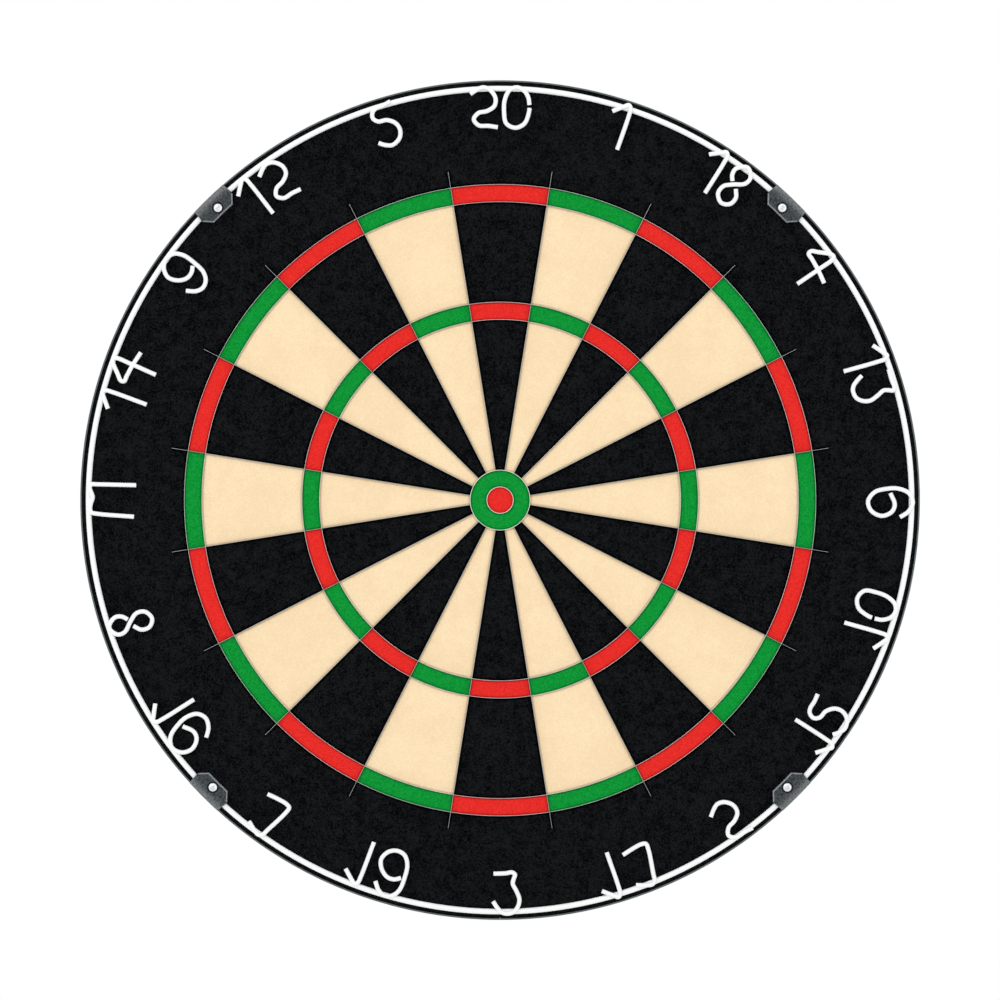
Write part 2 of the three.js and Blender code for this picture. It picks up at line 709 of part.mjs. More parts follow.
function footGeometry() {
  const padBack = padFace + footPadThickness;
  const pad = turning([
    [0, padFace],
    [footPadRadius - footPadBevel, padFace],
    [footPadRadius, padFace + footPadBevel],
    [footPadRadius, padBack],
    [0, padBack],
  ], discSegments);
  const bar = spindle(padFace + footPadThickness / 2, socketDepth - footSpindleInset, 0);
  return geometryOf(solid(pad).add(bar));
}

// Assembly

const board = new THREE.Group();
board.rotation.x = Math.PI / 2;

// Adds a named piece, turned clockwise round the board's axis and set off from it
function add(name, geometry, material, degrees = 0, distance = 0) {
  const piece = new THREE.Mesh(geometry, material);
  const angle = THREE.MathUtils.degToRad(degrees);
  piece.name = name;
  piece.rotation.z = -angle;
  piece.position.set(distance * Math.sin(angle), distance * Math.cos(angle), 0);
  board.add(piece);
}

add('rim_band', bandGeometry(), finishes.band);
add('band_joint_plate', jointPlateGeometry(), finishes.steel);
rivetPlaces.forEach((place, i) => add(`band_rivet_${i + 1}`, place(rivetGeometry()), finishes.steel));
add('backboard', backboardGeometry(), finishes.fibreboard);
add('sisal_rear_layer', rearSisalGeometry(), finishes.sisalRear);
add('sisal_face_layer', faceSisalGeometry(), finishes.sisalFace);

const radialBlade = radialBladeGeometry();
bladeAngles.forEach((angle, i) => {
  const number = String(i + 1).padStart(2, '0');
  add(`radial_blade_${number}`, radialBlade, finishes.blade, angle);
});
scoringRings.forEach(([name, radius]) =>
  add(name, ringBladeGeometry(radius, ringSegments), finishes.blade));
bullRings.forEach(([name, radius]) =>
  add(name, ringBladeGeometry(radius, bullSegments), finishes.blade));

add('number_ring', numberRingGeometry(), finishes.ringWire);
const clip = clipGeometry();
const pin = pinGeometry();
clipAngles.forEach((angle, i) => {
  add(`ring_clip_${i + 1}`, clip, finishes.clip, angle);
  add(`clip_pin_${i + 1}`, pin, finishes.steel, angle);
});

add('hanging_plate', hangingPlateGeometry(), finishes.steel);
add('hanging_screw', hangingScrewGeometry(), finishes.steel);
const plateScrew = plateScrewGeometry();
plateScrewAngles.forEach((angle, i) => add(`plate_screw_${i + 1}`, plateScrew, finishes.steel, angle));

const socket = socketGeometry();
const wheel = wheelGeometry();
const foot = footGeometry();
levellerAngles.forEach((angle, i) => {
  add(`leveller_socket_${i + 1}`, socket, finishes.blackPlastic, angle, levellerDistance);
  add(`levelling_wheel_${i + 1}`, wheel, finishes.blackPlastic, angle, levellerDistance);
  add(`levelling_foot_${i + 1}`, foot, finishes.blackPlastic, angle, levellerDistance);
});

export default board;
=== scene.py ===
"""Dresses the packed bristle dartboard for its picture.

The shapes are drawn as the thrower sees the board: x to the right, y up, z out of the face, with
z = 0 on the back face, in millimetres. Angles are in degrees, clockwise from the twenty.
"""

import json
import logging
import math
from collections.abc import Callable, Iterable
from dataclasses import dataclass
from enum import Enum

import bmesh
import bpy
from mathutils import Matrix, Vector

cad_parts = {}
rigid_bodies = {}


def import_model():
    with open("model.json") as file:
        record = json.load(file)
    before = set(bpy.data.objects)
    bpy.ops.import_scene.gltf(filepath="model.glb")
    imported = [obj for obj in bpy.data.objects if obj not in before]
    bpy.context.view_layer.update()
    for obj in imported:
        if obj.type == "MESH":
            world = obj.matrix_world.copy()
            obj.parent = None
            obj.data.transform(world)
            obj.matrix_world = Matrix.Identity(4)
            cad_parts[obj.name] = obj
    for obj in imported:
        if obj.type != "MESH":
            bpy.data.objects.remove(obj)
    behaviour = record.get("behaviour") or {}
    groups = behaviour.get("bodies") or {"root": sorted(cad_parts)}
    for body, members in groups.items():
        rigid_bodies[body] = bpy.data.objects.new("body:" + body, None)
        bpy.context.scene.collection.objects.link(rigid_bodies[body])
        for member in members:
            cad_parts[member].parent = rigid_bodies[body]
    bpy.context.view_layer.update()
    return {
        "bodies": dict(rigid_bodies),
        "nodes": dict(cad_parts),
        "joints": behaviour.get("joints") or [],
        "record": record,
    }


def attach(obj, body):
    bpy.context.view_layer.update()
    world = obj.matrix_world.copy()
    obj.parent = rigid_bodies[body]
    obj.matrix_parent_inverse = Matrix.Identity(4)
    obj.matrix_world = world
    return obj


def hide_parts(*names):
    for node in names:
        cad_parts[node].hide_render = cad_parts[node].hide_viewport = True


LOG = logging.getLogger("dartboard")
MILLIMETRE = 0.001
# The mesh attribute that marks where a finish paints light and shade: painted highlight on the
# clips, painted shade in the pins' dimples
PAINTED_LIGHT = "painted_light"
WIRE_SHARE = "wire_share"

Point = tuple[float, float, float]
Flat = tuple[float, float]
Colour = tuple[float, float, float, float]
Socket = bpy.types.NodeSocket
Piece = bpy.types.Object

# Sizes that more than one sub-assembly keeps to: the radius of each ring's blade from the bull out,
# how far the radial blades reach, the beds to a round, and where the levellers and the plate's
# screws stand
RINGS = {"inner_bull": 7.1, "outer_bull": 16.1, "treble_inner": 97.0, "treble_outer": 106.4,
         "double_inner": 160.2, "double_outer": 169.6}
BLADE_REACH = 179.0
SECTORS = 20
LEVELLER_ANGLES = (0.0, 120.0, 240.0)
LEVELLER_DISTANCE = 150.0
PLATE_SCREW_DISTANCE = 18.0

# Edges that bend further than this many degrees stay crisp, unless a piece says otherwise
CRISP = 32.0
# Corners nearer to each other than this, in metres, become one
MERGE_GAP = 1e-6
# Where most of a noise's values lie, and where nearly all of them do
MOST: Flat = (0.3, 0.7)
NEARLY_ALL: Flat = (0.2, 0.8)
# Where the board's axis stands, in the frame
AXIS: Point = (0.0, 0.0, 0.0)
WHITE: Colour = (1.0, 1.0, 1.0, 1.0)


def linear(code: int) -> Colour:
    """Turns a written colour into the light that it stands for, by the sRGB curve.

    Args:
        code: the colour as 0xRRGGBB.

    Returns:
        Its red, green and blue in linear light, and full cover.
    """
    shares = [(code >> shift & 255) / 255 for shift in (16, 8, 0)]
    red, green, blue = (s / 12.92 if s <= 0.04045 else ((s + 0.055) / 1.055) ** 2.4 for s in shares)
    return (red, green, blue, 1.0)


def toned(colour: Colour, factor: float) -> Colour:
    """Makes a colour lighter or darker by a factor."""
    return (*[min(1.0, share * factor) for share in colour[:3]], 1.0)


def to_frame(point: Point) -> Point:
    """Moves a point from the front view to the frame, in metres."""
    x, y, z = point
    return (x * MILLIMETRE, -z * MILLIMETRE, y * MILLIMETRE)


def clockwise(point: Point, degrees: float) -> Point:
    """Turns a point clockwise round the board's axis."""
    turn = math.radians(degrees)
    x, y, z = point
    return (x * math.cos(turn) + y * math.sin(turn), y * math.cos(turn) - x * math.sin(turn), z)


def eased(value: float, low: float, high: float) -> float:
    """Rises smoothly from 0 at low to 1 at high."""
    share = min(1.0, max(0.0, (value - low) / (high - low)))
    return share * share * (3 - 2 * share)


def spaced(low: float, high: float, count: int) -> list[float]:
    """Spreads values evenly between two ends, both of them included."""
    return [low + (high - low) * i / (count - 1) for i in range(count)]


def full_turn(count: int) -> list[float]:
    """Gives evenly spaced angles, in radians, that make one whole turn."""
    return [2 * math.pi * i / count for i in range(count)]


def domed(radius: float, foot: float, rise: float, end: float, count: int) -> list[Flat]:
    """Gives the side of a domed head, as radius and height.

    Args:
        radius: the head's radius.
        foot: the height at which the dome starts.
        rise: how far a whole quarter round would rise, below 0 where it hangs.
        end: how much of the quarter round there is, in radians.
        count: how many points there are.

    Returns:
        The points, from the rim to the middle.
    """
    return [(radius * math.cos(a), foot + rise * math.sin(a)) for a in spaced(0.0, end, count)]


class Sketch:
    """A mesh in the making, drawn in the front view."""

    def __init__(self) -> None:
        """Starts an empty drawing."""
        self.corners: list[Point] = []
        self.faces: list[tuple[int, ...]] = []
        self.painted_light: list[float] = []

    def skin(
        self,
        rows: list[list[Point]],
        loop: bool = False,
        caps: bool = False,
        painted_light: list[list[float]] | None = None,
    ) -> None:
        """Stretches faces between rows of points, each of which closes on itself.

        Args:
            rows: rows of equally many points.
            loop: whether the last row joins the first.
            caps: whether the first and last rows are filled.
            painted_light: how strongly the finish paints light and shade at each point, from 0 to
                1.
        """
        start, across = len(self.corners), len(rows[0])
        self.corners += [point for row in rows for point in row]
        self.painted_light += [w for row in painted_light for w in row] if painted_light else [0.0] * across * len(rows)
        for r in range(len(rows) if loop else len(rows) - 1):
            low, high = start + r * across, start + (r + 1) % len(rows) * across
            for i in range(across):
                j = (i + 1) % across
                self.faces.append((low + i, low + j, high + j, high + i))
        if caps:
            last = start + (len(rows) - 1) * across
            self.faces.append(tuple(range(start, start + across)))
            self.faces.append(tuple(range(last, last + across)))

    def turning(
        self,
        outline: list[Flat],
        segments: int,
        centre: Flat = (0.0, 0.0),
        loop: bool = False,
        painted_light: list[float] | None = None,
    ) -> None:
        """Turns an outline round an axis that stands out of the face.

        Args:
            outline: points as radius and height.
            segments: how many steps make the round.
            centre: where the axis stands.
            loop: whether the outline closes on itself.
            painted_light: how strongly the finish paints light and shade at each point of the
                outline.
        """
        turns = full_turn(segments)
        rows = [
            [(centre[0] + r * math.sin(t), centre[1] + r * math.cos(t), h) for t in turns]
            for r, h in outline
        ]
        painted_marks = [[w] * segments for w in painted_light] if painted_light else None
        self.skin(rows, loop=loop, painted_light=painted_marks)

    def moved(self, rule: Callable[[Point], Point]) -> "Sketch":
        """Puts every point where a rule says, and returns the sketch."""
        self.corners = [rule(point) for point in self.corners]
        return self

    def piece(self, name: str, finish: "Finish", sharp: float = CRISP) -> Piece:
        """Makes the drawing a mesh object in the frame.

        Args:
            name: the object's name.
            finish: what the surface is finished in.
            sharp: edges that bend further than this many degrees stay crisp.

        Returns:
            The object, at the origin, with its place in its mesh.
        """
        mesh = bpy.data.meshes.new(name)
        mesh.from_pydata([to_frame(point) for point in self.corners], [], self.faces)
        mesh.attributes.new(PAINTED_LIGHT, "FLOAT", "POINT").data.foreach_set("value", self.painted_light)
        work = bmesh.new()
        work.from_mesh(mesh)
        bmesh.ops.remove_doubles(work, verts=work.verts, dist=MERGE_GAP)
        bmesh.ops.recalc_face_normals(work, faces=work.faces)
        work.to_mesh(mesh)
        work.free()
        mesh.materials.append(finish.material())
        return linked(name, mesh, sharp)


def linked(name: str, mesh: bpy.types.Mesh, sharp: float) -> Piece:
    """Shades a mesh smooth but for its sharp edges, and puts it in the scene."""
    mesh.shade_smooth()
    mesh.set_sharp_from_angle(angle=math.radians(sharp))
    made = bpy.data.objects.new(name, mesh)
    bpy.context.scene.collection.objects.link(made)
    return made


def settled(source: Piece, name: str, sharp: float = CRISP) -> Piece:
    """Makes what an object's modifiers give a plain mesh object of its own.

    Args:
        source: the object with its modifiers, which is removed.
        name: the new object's name.
        sharp: edges that bend further than this many degrees stay crisp.

    Returns:
        The new object.
    """
    seen = bpy.context.evaluated_depsgraph_get()
    mesh = bpy.data.meshes.new_from_object(source.evaluated_get(seen), depsgraph=seen)
    source.modifiers.clear()
    bpy.data.objects.remove(source)
    mesh.name = name
    return linked(name, mesh, sharp)


def bored(source: Piece, cutters: Iterable[Piece], name: str) -> Piece:
    """Cuts shapes out of a piece.

    Args:
        source: the piece, which is removed.
        cutters: closed shapes, which are removed.
        name: the new object's name.

    Returns:
        What is left, as a new object.
    """
    tools = list(cutters)
    for tool in tools:
        cut = source.modifiers.new("cut", "BOOLEAN")
        cut.operation, cut.solver, cut.object = "DIFFERENCE", "EXACT", tool
        cut.material_mode = "TRANSFER"
    made = settled(source, name)
    for tool in tools:
        bpy.data.objects.remove(tool)
    return made


def joined(name: str, parts: list[Piece]) -> Piece:
    """Joins objects into one, which takes the name."""
    with bpy.context.temp_override(
        active_object=parts[0], object=parts[0], selected_editable_objects=parts
    ):
        bpy.ops.object.join()
    parts[0].name = parts[0].data.name = name
    return parts[0]


def hand_over(piece: Piece, body: str, slot: str, *nodes: str) -> None:
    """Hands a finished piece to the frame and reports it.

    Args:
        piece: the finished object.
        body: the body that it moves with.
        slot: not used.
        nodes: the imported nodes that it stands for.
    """
    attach(piece, body)
    if nodes:
        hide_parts(*nodes)
    LOG.info("%s on %s: %d faces", piece.name, body, len(piece.data.polygons))


# Finishes


class Graph:
    """A node tree that is filled one node at a time."""

    def __init__(self, tree: bpy.types.NodeTree) -> None:
        """Takes the tree to fill."""
        self.tree = tree

    def add(self, kind: str, inputs: dict | None = None, **settings: object) -> bpy.types.Node:
        """Adds a node.

        Args:
            kind: the node's type.
            inputs: a value or a socket to link, for each input by name or number.
            settings: the node's own settings.

        Returns:
            The node.
        """
        node = self.tree.nodes.new(kind)
        for name, value in settings.items():
            setattr(node, name, value)
        for name, value in (inputs or {}).items():
            if isinstance(value, Socket):
                self.tree.links.new(value, node.inputs[name])
            else:
                node.inputs[name].default_value = value
        return node

    def number(self, operation: str, *values: float | Socket) -> Socket:
        """Works out one number from others."""
        inputs = dict(enumerate(values))
        return self.add("ShaderNodeMath", inputs, operation=operation).outputs[0]

    def blend(self, share: float | Socket, low: Colour | Socket, high: Colour | Socket) -> Socket:
        """Mixes two colours, all of the first where the share is 0."""
        inputs = {0: share, 6: low, 7: high}
        return self.add("ShaderNodeMix", inputs, data_type="RGBA").outputs[2]

    def spread(self, value: Socket, low: float, high: float, start: float = 0.0,
               end: float = 1.0) -> Socket:
        """Rises smoothly from start, where the value is low, to end, where it is high."""
        inputs = {0: value, 1: low, 2: high, 3: start, 4: end}
        settings = {"interpolation_type": "SMOOTHSTEP"}
        return self.add("ShaderNodeMapRange", inputs, **settings).outputs[0]

    def place(self, stretch: Point = (1.0, 1.0, 1.0)) -> Socket:
        """Gives the place on the piece in millimetres, each axis stretched by a factor."""
        where = self.add("ShaderNodeTexCoord").outputs["Object"]
        scale = tuple(s / MILLIMETRE for s in stretch)
        return self.add("ShaderNodeMapping", {"Vector": where, "Scale": scale}).outputs[0]

    def grain(
        self, where: Socket, size: float, detail: float = 2.0, roughness: float = 0.5
    ) -> Socket:
        """Gives soft noise.

        Args:
            where: the place to read it at, in millimetres.
            size: how wide its largest lumps are, in millimetres.
            detail: how many finer layers lie over them.
            roughness: how strong each finer layer is, next to the one below.

        Returns:
            The noise, from 0 to 1 and mostly near the middle.
        """
        inputs = {"Vector": where, "Scale": 1 / size, "Detail": detail, "Roughness": roughness}
        return self.add("ShaderNodeTexNoise", inputs).outputs[0]

    def round_place(self) -> tuple[Socket, Socket, Socket]:
        """Gives the distance from the board's axis, the clockwise angle and the depth, in mm."""
        parts = self.add("ShaderNodeSeparateXYZ", {0: self.place()}).outputs
        squares = [self.number("MULTIPLY", parts[i], parts[i]) for i in (0, 2)]
        away = self.number("SQRT", self.number("ADD", *squares))
        return away, self.number("ARCTAN2", parts[0], parts[2]), parts[1]

    def point(self, *parts: Socket) -> Socket:
        """Makes a place of two or three numbers."""
        return self.add("ShaderNodeCombineXYZ", dict(enumerate(parts))).outputs[0]

    def painted_light(self) -> Socket:
        """Gives how strongly the mesh marks the surface for painted light and shade, from 0 to 1.
        """
        return self.add("ShaderNodeAttribute", attribute_name=PAINTED_LIGHT).outputs["Fac"]

    def relief(self, height: Socket, strength: float, depth: float) -> Socket:
        """Raises and lowers the surface by a height, over a depth in millimetres."""
        inputs = {"Height": height, "Strength": strength, "Distance": depth * MILLIMETRE}
        return self.add("ShaderNodeBump", inputs).outputs[0]

    def surface(self, **inputs: object) -> Socket:
        """Makes the shader, with its inputs named in words joined by underscores."""
        named = {name.replace("_", " "): value for name, value in inputs.items()}
        return self.add("ShaderNodeBsdfPrincipled", named).outputs[0]


@dataclass(frozen=True)
class Finish:
    """What a surface is finished in."""

    name: str

    def material(self) -> bpy.types.Material:
        """Gives the finish as a material, made the first time that it is asked for."""
        found = bpy.data.materials.get(self.name)
        if found is None:
            found = bpy.data.materials.new(self.name)
            found.use_nodes = True
            found.node_tree.nodes.clear()
            graph = Graph(found.node_tree)
            graph.add("ShaderNodeOutputMaterial", {"Surface": self.mixed(graph)})
        return found

    def mixed(self, graph: Graph) -> Socket:
        """Fills the material's graph and returns its shader."""
        raise NotImplementedError


class Dye(Enum):
    """The dyes of the face, each from its darker fibres to its lighter ones."""

    BLACK = (0x010204, 0x1B1C1E)
    CREAM = (0xF6D9B0, 0xFFE7BF)
    RED = (0xDE2721, 0xF03430)
    GREEN = (0x048829, 0x189D41)

    def fibres(self, graph: Graph, mottle: Socket) -> Socket:
        """Gives the dye's colour, lighter where the mottle is high."""
        dark, light = self.value
        return graph.blend(mottle, linear(dark), linear(light))


@dataclass(frozen=True)
class DyedSisal(Finish):
    """The playing face: end-grain fibre, dyed in beds that meet under the blades."""

    rings: tuple[float, ...] = tuple(RINGS.values())
    reach: float = BLADE_REACH
    sectors: int = SECTORS
    fibre_squash: Point = (1.0, 0.25, 1.0)
    fibre_size: float = 0.7
    cloud_size: float = 5.0
    cloud_roughness: float = 0.95
    slow_size: float = 22.0
    steep: Flat = (0.36, 0.64)
    black_ends: float = 0.1
    black_shares: tuple[float, ...] = (0.52, 0.48)
    cream_shares: tuple[float, ...] = (0.48, 0.3, 0.22)
    # Painted shade: each bed is darkened beside the rings and the radial blades, and the black beds
    # still more beside any blade; these set how much and how far
    ring_shade: float = 0.2
    ring_shade_reach: Flat = (0.5, 1.5)
    blade_shade: float = 0.06
    blade_shade_reach: Flat = (0.6, 2.0)
    black_shade: float = 0.7
    black_shade_reach: Flat = (0.7, 1.9)
    black_limit: int = 0x002400
    roughness: float = 0.95
    gloss: float = 0.03
    relief: Flat = (0.35, 0.12)

    def mottle(self, graph: Graph, ends: float, *layers: tuple[Socket, float]) -> Socket:
        """Lays noises over each other and steepens the result.

        Args:
            graph: the graph to fill.
            ends: how much of the range is cut off at each end.
            layers: each noise and its share.

        Returns:
            The mottle, from 0 to 1.
        """
        total: float | Socket = 0.0
        for noise, share in layers:
            total = graph.number("MULTIPLY_ADD", noise, share, total)
        return graph.spread(total, ends, 1 - ends)

    def mixed(self, graph: Graph) -> Socket:
        """Fills the graph with the beds, their mottle and the painted shade beside each blade."""
        away, turn, _ = graph.round_place()
        inner_bull, outer_bull, treble_in, treble_out, double_in, double_out = self.rings
        step = 2 * math.pi / self.sectors
        sector = graph.number("ADD", graph.number("DIVIDE", turn, step), 0.5)
        odd = graph.number("FLOOR", graph.number("FLOORED_MODULO", sector, 2.0))
        fibre = graph.grain(graph.place(self.fibre_squash), self.fibre_size, 4.0, 0.6)
        clouds = graph.grain(graph.place(), self.cloud_size, 5.0, self.cloud_roughness)
        slow = graph.grain(graph.place(), self.slow_size)
        fine, clouds, slow = (graph.spread(noise, *self.steep) for noise in (fibre, clouds, slow))
        black = Dye.BLACK.fibres(graph, self.mottle(
            graph, self.black_ends, *zip((fine, clouds), self.black_shares)))
        cream = Dye.CREAM.fibres(graph, self.mottle(
            graph, 0.0, *zip((fine, clouds, slow), self.cream_shares)))
        red, green = (dye.fibres(graph, fine) for dye in (Dye.RED, Dye.GREEN))
        in_ring = graph.number("MAXIMUM", *[
            graph.number("COMPARE", away, (inner + outer) / 2, (outer - inner) / 2)
            for inner, outer in ((treble_in, treble_out), (double_in, double_out))])
        beds = graph.blend(in_ring, graph.blend(odd, black, cream), graph.blend(odd, red, green))
        beds = graph.blend(graph.number("LESS_THAN", away, outer_bull), beds, green)
        beds = graph.blend(graph.number("LESS_THAN", away, inner_bull), beds, red)
        beds = graph.blend(graph.number("GREATER_THAN", away, double_out), beds, black)
        across = graph.number("MULTIPLY", graph.number("PINGPONG", sector, 0.5),
                              graph.number("MULTIPLY", away, step))
        bladeless = graph.number("MAXIMUM", graph.number("LESS_THAN", away, outer_bull),
                                 graph.number("GREATER_THAN", away, self.reach))
        across = graph.number("ADD", across, graph.number("MULTIPLY", bladeless, self.reach))
        gaps = [graph.number("ABSOLUTE", graph.number("SUBTRACT", away, radius))
                for radius in self.rings]
        along = gaps[0]
        for gap in gaps[1:]:
            along = graph.number("MINIMUM", along, gap)
        # Painted shade beside every blade, by the distance to the nearest ring or radial, deepest
        # on the black beds
        lit = graph.number(
            "MULTIPLY",
            graph.spread(along, *self.ring_shade_reach, 1 - self.ring_shade),
            graph.spread(across, *self.blade_shade_reach, 1 - self.blade_shade))
        painted_black_light = graph.spread(graph.number("MINIMUM", along, across), *self.black_shade_reach,
                            1 - self.black_shade)
        is_black = graph.number("LESS_THAN", graph.add(
            "ShaderNodeSeparateXYZ", {0: beds}).outputs[1], linear(self.black_limit)[1])
        dark = graph.number("MULTIPLY", is_black, graph.number("SUBTRACT", 1.0, painted_black_light))
        lit = graph.number("MULTIPLY", lit, graph.number("SUBTRACT", 1.0, dark))
        shaded = graph.add("ShaderNodeVectorMath", {0: beds, "Scale": lit}, operation="SCALE")
        return graph.surface(
            Base_Color=shaded.outputs[0], Roughness=self.roughness,
            Specular_IOR_Level=self.gloss, Normal=graph.relief(fibre, *self.relief))


@dataclass(frozen=True)
class Fibre(Finish):
    """Raw board of pressed fibre or chips, seen from the back and inside."""

    dark: int = 0x7A6346
    light: int = 0xB5966D
    flake: float = 2.2
    flake_squash: Point = (1.0, 1.0, 1.7)
    flake_edge: Flat = (0.1, 0.75)
    flake_share: float = 0.55
    fine_size: float = 0.7
    tone_ends: Flat = (0.05, 0.95)
    roughness: Flat = (0.8, 0.95)
    gloss: float = 0.2
    relief: Flat = (0.25, 0.25)

    def mixed(self, graph: Graph) -> Socket:
        """Fills the graph with flakes, fine fibre between them and a rough surface."""
        where = graph.place(self.flake_squash)
        cells = graph.add("ShaderNodeTexVoronoi", {"Vector": where, "Scale": 1 / self.flake})
        flakes = graph.spread(cells.outputs[0], *self.flake_edge)
        tint = graph.add("ShaderNodeSeparateXYZ", {0: cells.outputs[1]}).outputs[0]
        fine = graph.grain(graph.place(), self.fine_size, 4.0)
        share = graph.number("ADD", graph.number("MULTIPLY", tint, self.flake_share),
                             graph.number("MULTIPLY", fine, 1 - self.flake_share))
        share = graph.spread(share, *self.tone_ends)
        colour = graph.blend(share, linear(self.dark), linear(self.light))
        return graph.surface(
            Base_Color=colour, Roughness=graph.spread(fine, *NEARLY_ALL, *self.roughness),
            Specular_IOR_Level=self.gloss,
            Normal=graph.relief(graph.number("ADD", flakes, fine), *self.relief))


@dataclass(frozen=True)
class Brushed(Finish):
    """Metal drawn round the board's axis, with fine lines along its length."""

    colour: int = 0xB9BCBF
    roughness: float = 0.3
    line: float = 0.25
    line_stretch: float = 12.0
    contrast: float = 0.12
    patch_size: float = 14.0
    patch_roughness: float = 0.16
    relief: Flat = (0.12, 0.03)

    def mixed(self, graph: Graph) -> Socket:
        """Fills the graph with lines that run round, and a little uneven polish."""
        away, turn, depth = graph.round_place()
        where = graph.point(graph.number("MULTIPLY", turn, self.line_stretch), depth, away)
        lines = graph.grain(where, self.line, 3.0)
        patches = graph.number("MULTIPLY", graph.grain(graph.place(), self.patch_size),
                               self.patch_roughness)
        base = linear(self.colour)
        low, high = toned(base, 1 - self.contrast), toned(base, 1 + self.contrast)
        return graph.surface(
            Base_Color=graph.blend(graph.spread(lines, *MOST), low, high), Metallic=1.0,
            Roughness=graph.number("ADD", patches, self.roughness - self.patch_roughness / 2),
            Normal=graph.relief(lines, *self.relief))


@dataclass(frozen=True)
class PowderCoat(Finish):
    """Thick matt-white coating baked on wire."""

    colour: int = 0xFDFEFE
    dimmest: float = 0.98
    peel_size: float = 0.8
    cloud_size: float = 7.0
    roughness: Flat = (0.36, 0.48)
    gloss: float = 0.35
    relief: Flat = (0.15, 0.05)

    def mixed(self, graph: Graph) -> Socket:
        """Fills the graph with the coat's soft orange peel and faint unevenness."""
        peel = graph.grain(graph.place(), self.peel_size)
        clouds = graph.spread(graph.grain(graph.place(), self.cloud_size), *MOST)
        base = linear(self.colour)
        return graph.surface(
            Base_Color=graph.blend(clouds, toned(base, self.dimmest), base),
            Roughness=graph.spread(peel, *NEARLY_ALL, *self.roughness),
            Specular_IOR_Level=self.gloss, Normal=graph.relief(peel, *self.relief))


@dataclass(frozen=True)
class Moulding(Finish):
    """Moulded plastic with a fine grain, painted lighter where the mesh marks a painted highlight.
    """

    colour: int = 0x353A3D
    painted_highlight: int = 0x9A9FA2
    roughness: float = 0.5
    roughness_swing: float = 0.1
    gloss: float = 0.25
    grain_size: float = 0.5
    tones: Flat = (0.3, 2.4)
    tone_ends: Flat = (0.38, 0.62)
    highlight_ends: Flat = (0.35, 0.6)
    least_highlight: float = 0.5
    relief: Flat = (0.25, 0.05)
    streak_length: float = 0.0
    streak_radius: float = 221.0

    def grained(self, graph: Graph) -> Socket:
        """Gives the grain, which is drawn out towards the rim where there are streaks."""
        if not self.streak_length:
            return graph.grain(graph.place(), self.grain_size, 3.0)
        away, turn, _ = graph.round_place()
        where = graph.point(graph.number("MULTIPLY", turn, self.streak_radius),
                            graph.number("DIVIDE", away, self.streak_length))
        return graph.grain(where, self.grain_size, 4.0, 0.7)

    def mixed(self, graph: Graph) -> Socket:
        """Fills the graph with the grain and the painted highlight that the mesh marks."""
        fine = self.grained(graph)
        base = linear(self.colour)
        dim, lit = (toned(base, tone) for tone in self.tones)
        plain = graph.blend(graph.spread(fine, *self.tone_ends), dim, lit)
        # Painted highlight: lighter where the mesh marks it, patchy with the grain
        painted_highlight = graph.number("MULTIPLY", graph.painted_light(),
                              graph.spread(fine, *self.highlight_ends, self.least_highlight))
        smoothest = self.roughness - self.roughness_swing
        roughest = self.roughness + self.roughness_swing
        return graph.surface(
            Base_Color=graph.blend(painted_highlight, plain, linear(self.painted_highlight)),
            Roughness=graph.spread(fine, *NEARLY_ALL, smoothest, roughest),
            Specular_IOR_Level=self.gloss, Normal=graph.relief(fine, *self.relief))


@dataclass(frozen=True)
class Plated(Finish):
    """Plated steel, cloudy where the bath left it and painted a duller grey where the mesh marks
    painted shade.
    """

    colour: int = 0xD9DCDE
    painted_shade: int = 0x9EA2A6
    dimmest: float = 0.86
    roughness: float = 0.28
    roughness_swing: Flat = (-0.06, 0.08)
    cloud: float = 3.0
    scratch_squash: Point = (1.0, 1.0, 6.0)
    scratch_size: float = 0.5
    relief: Flat = (0.08, 0.02)

    def mixed(self, graph: Graph) -> Socket:
        """Fills the graph with the plating's clouds, fine scratches and the painted shade that the
        mesh marks.
        """
        clouds = graph.grain(graph.place(), self.cloud, 3.0)
        scratches = graph.grain(graph.place(self.scratch_squash), self.scratch_size)
        base = linear(self.colour)
        plain = graph.blend(graph.spread(clouds, *MOST), toned(base, self.dimmest), base)
        smoothest, roughest = (self.roughness + swing for swing in self.roughness_swing)
        # Painted shade: the plating turns a duller grey where the mesh marks it
        return graph.surface(
            Base_Color=graph.blend(graph.painted_light(), plain, linear(self.painted_shade)), Metallic=1.0,
            Roughness=graph.spread(clouds, *MOST, smoothest, roughest),
            Normal=graph.relief(scratches, *self.relief))


@dataclass(frozen=True)
class Backdrop(Finish):
    """The studio's pale floor, faintly uneven."""

    colour: int = 0xF8F8F7
    dimmest: float = 0.98
    cloud_size: float = 260.0
    roughness: float = 0.9
    gloss: float = 0.1

    def mixed(self, graph: Graph) -> Socket:
        """Fills the graph with a slow, faint change of tone."""
        slow = graph.grain(graph.place(), self.cloud_size)
        base = linear(self.colour)
        return graph.surface(
            Base_Color=graph.blend(slow, toned(base, self.dimmest), base),
            Roughness=self.roughness, Specular_IOR_Level=self.gloss)


FACE_SISAL = DyedSisal("dyed_sisal_face")
REAR_SISAL = Fibre("rear_sisal_fibre", dark=0xB08D5B, light=0xD9BC8C, flake=1.1)
CHIPBOARD = Fibre("chipboard_back")
BAND_STEEL = Brushed("band_steel_dark", colour=0x62676A, roughness=0.34, contrast=0.3)
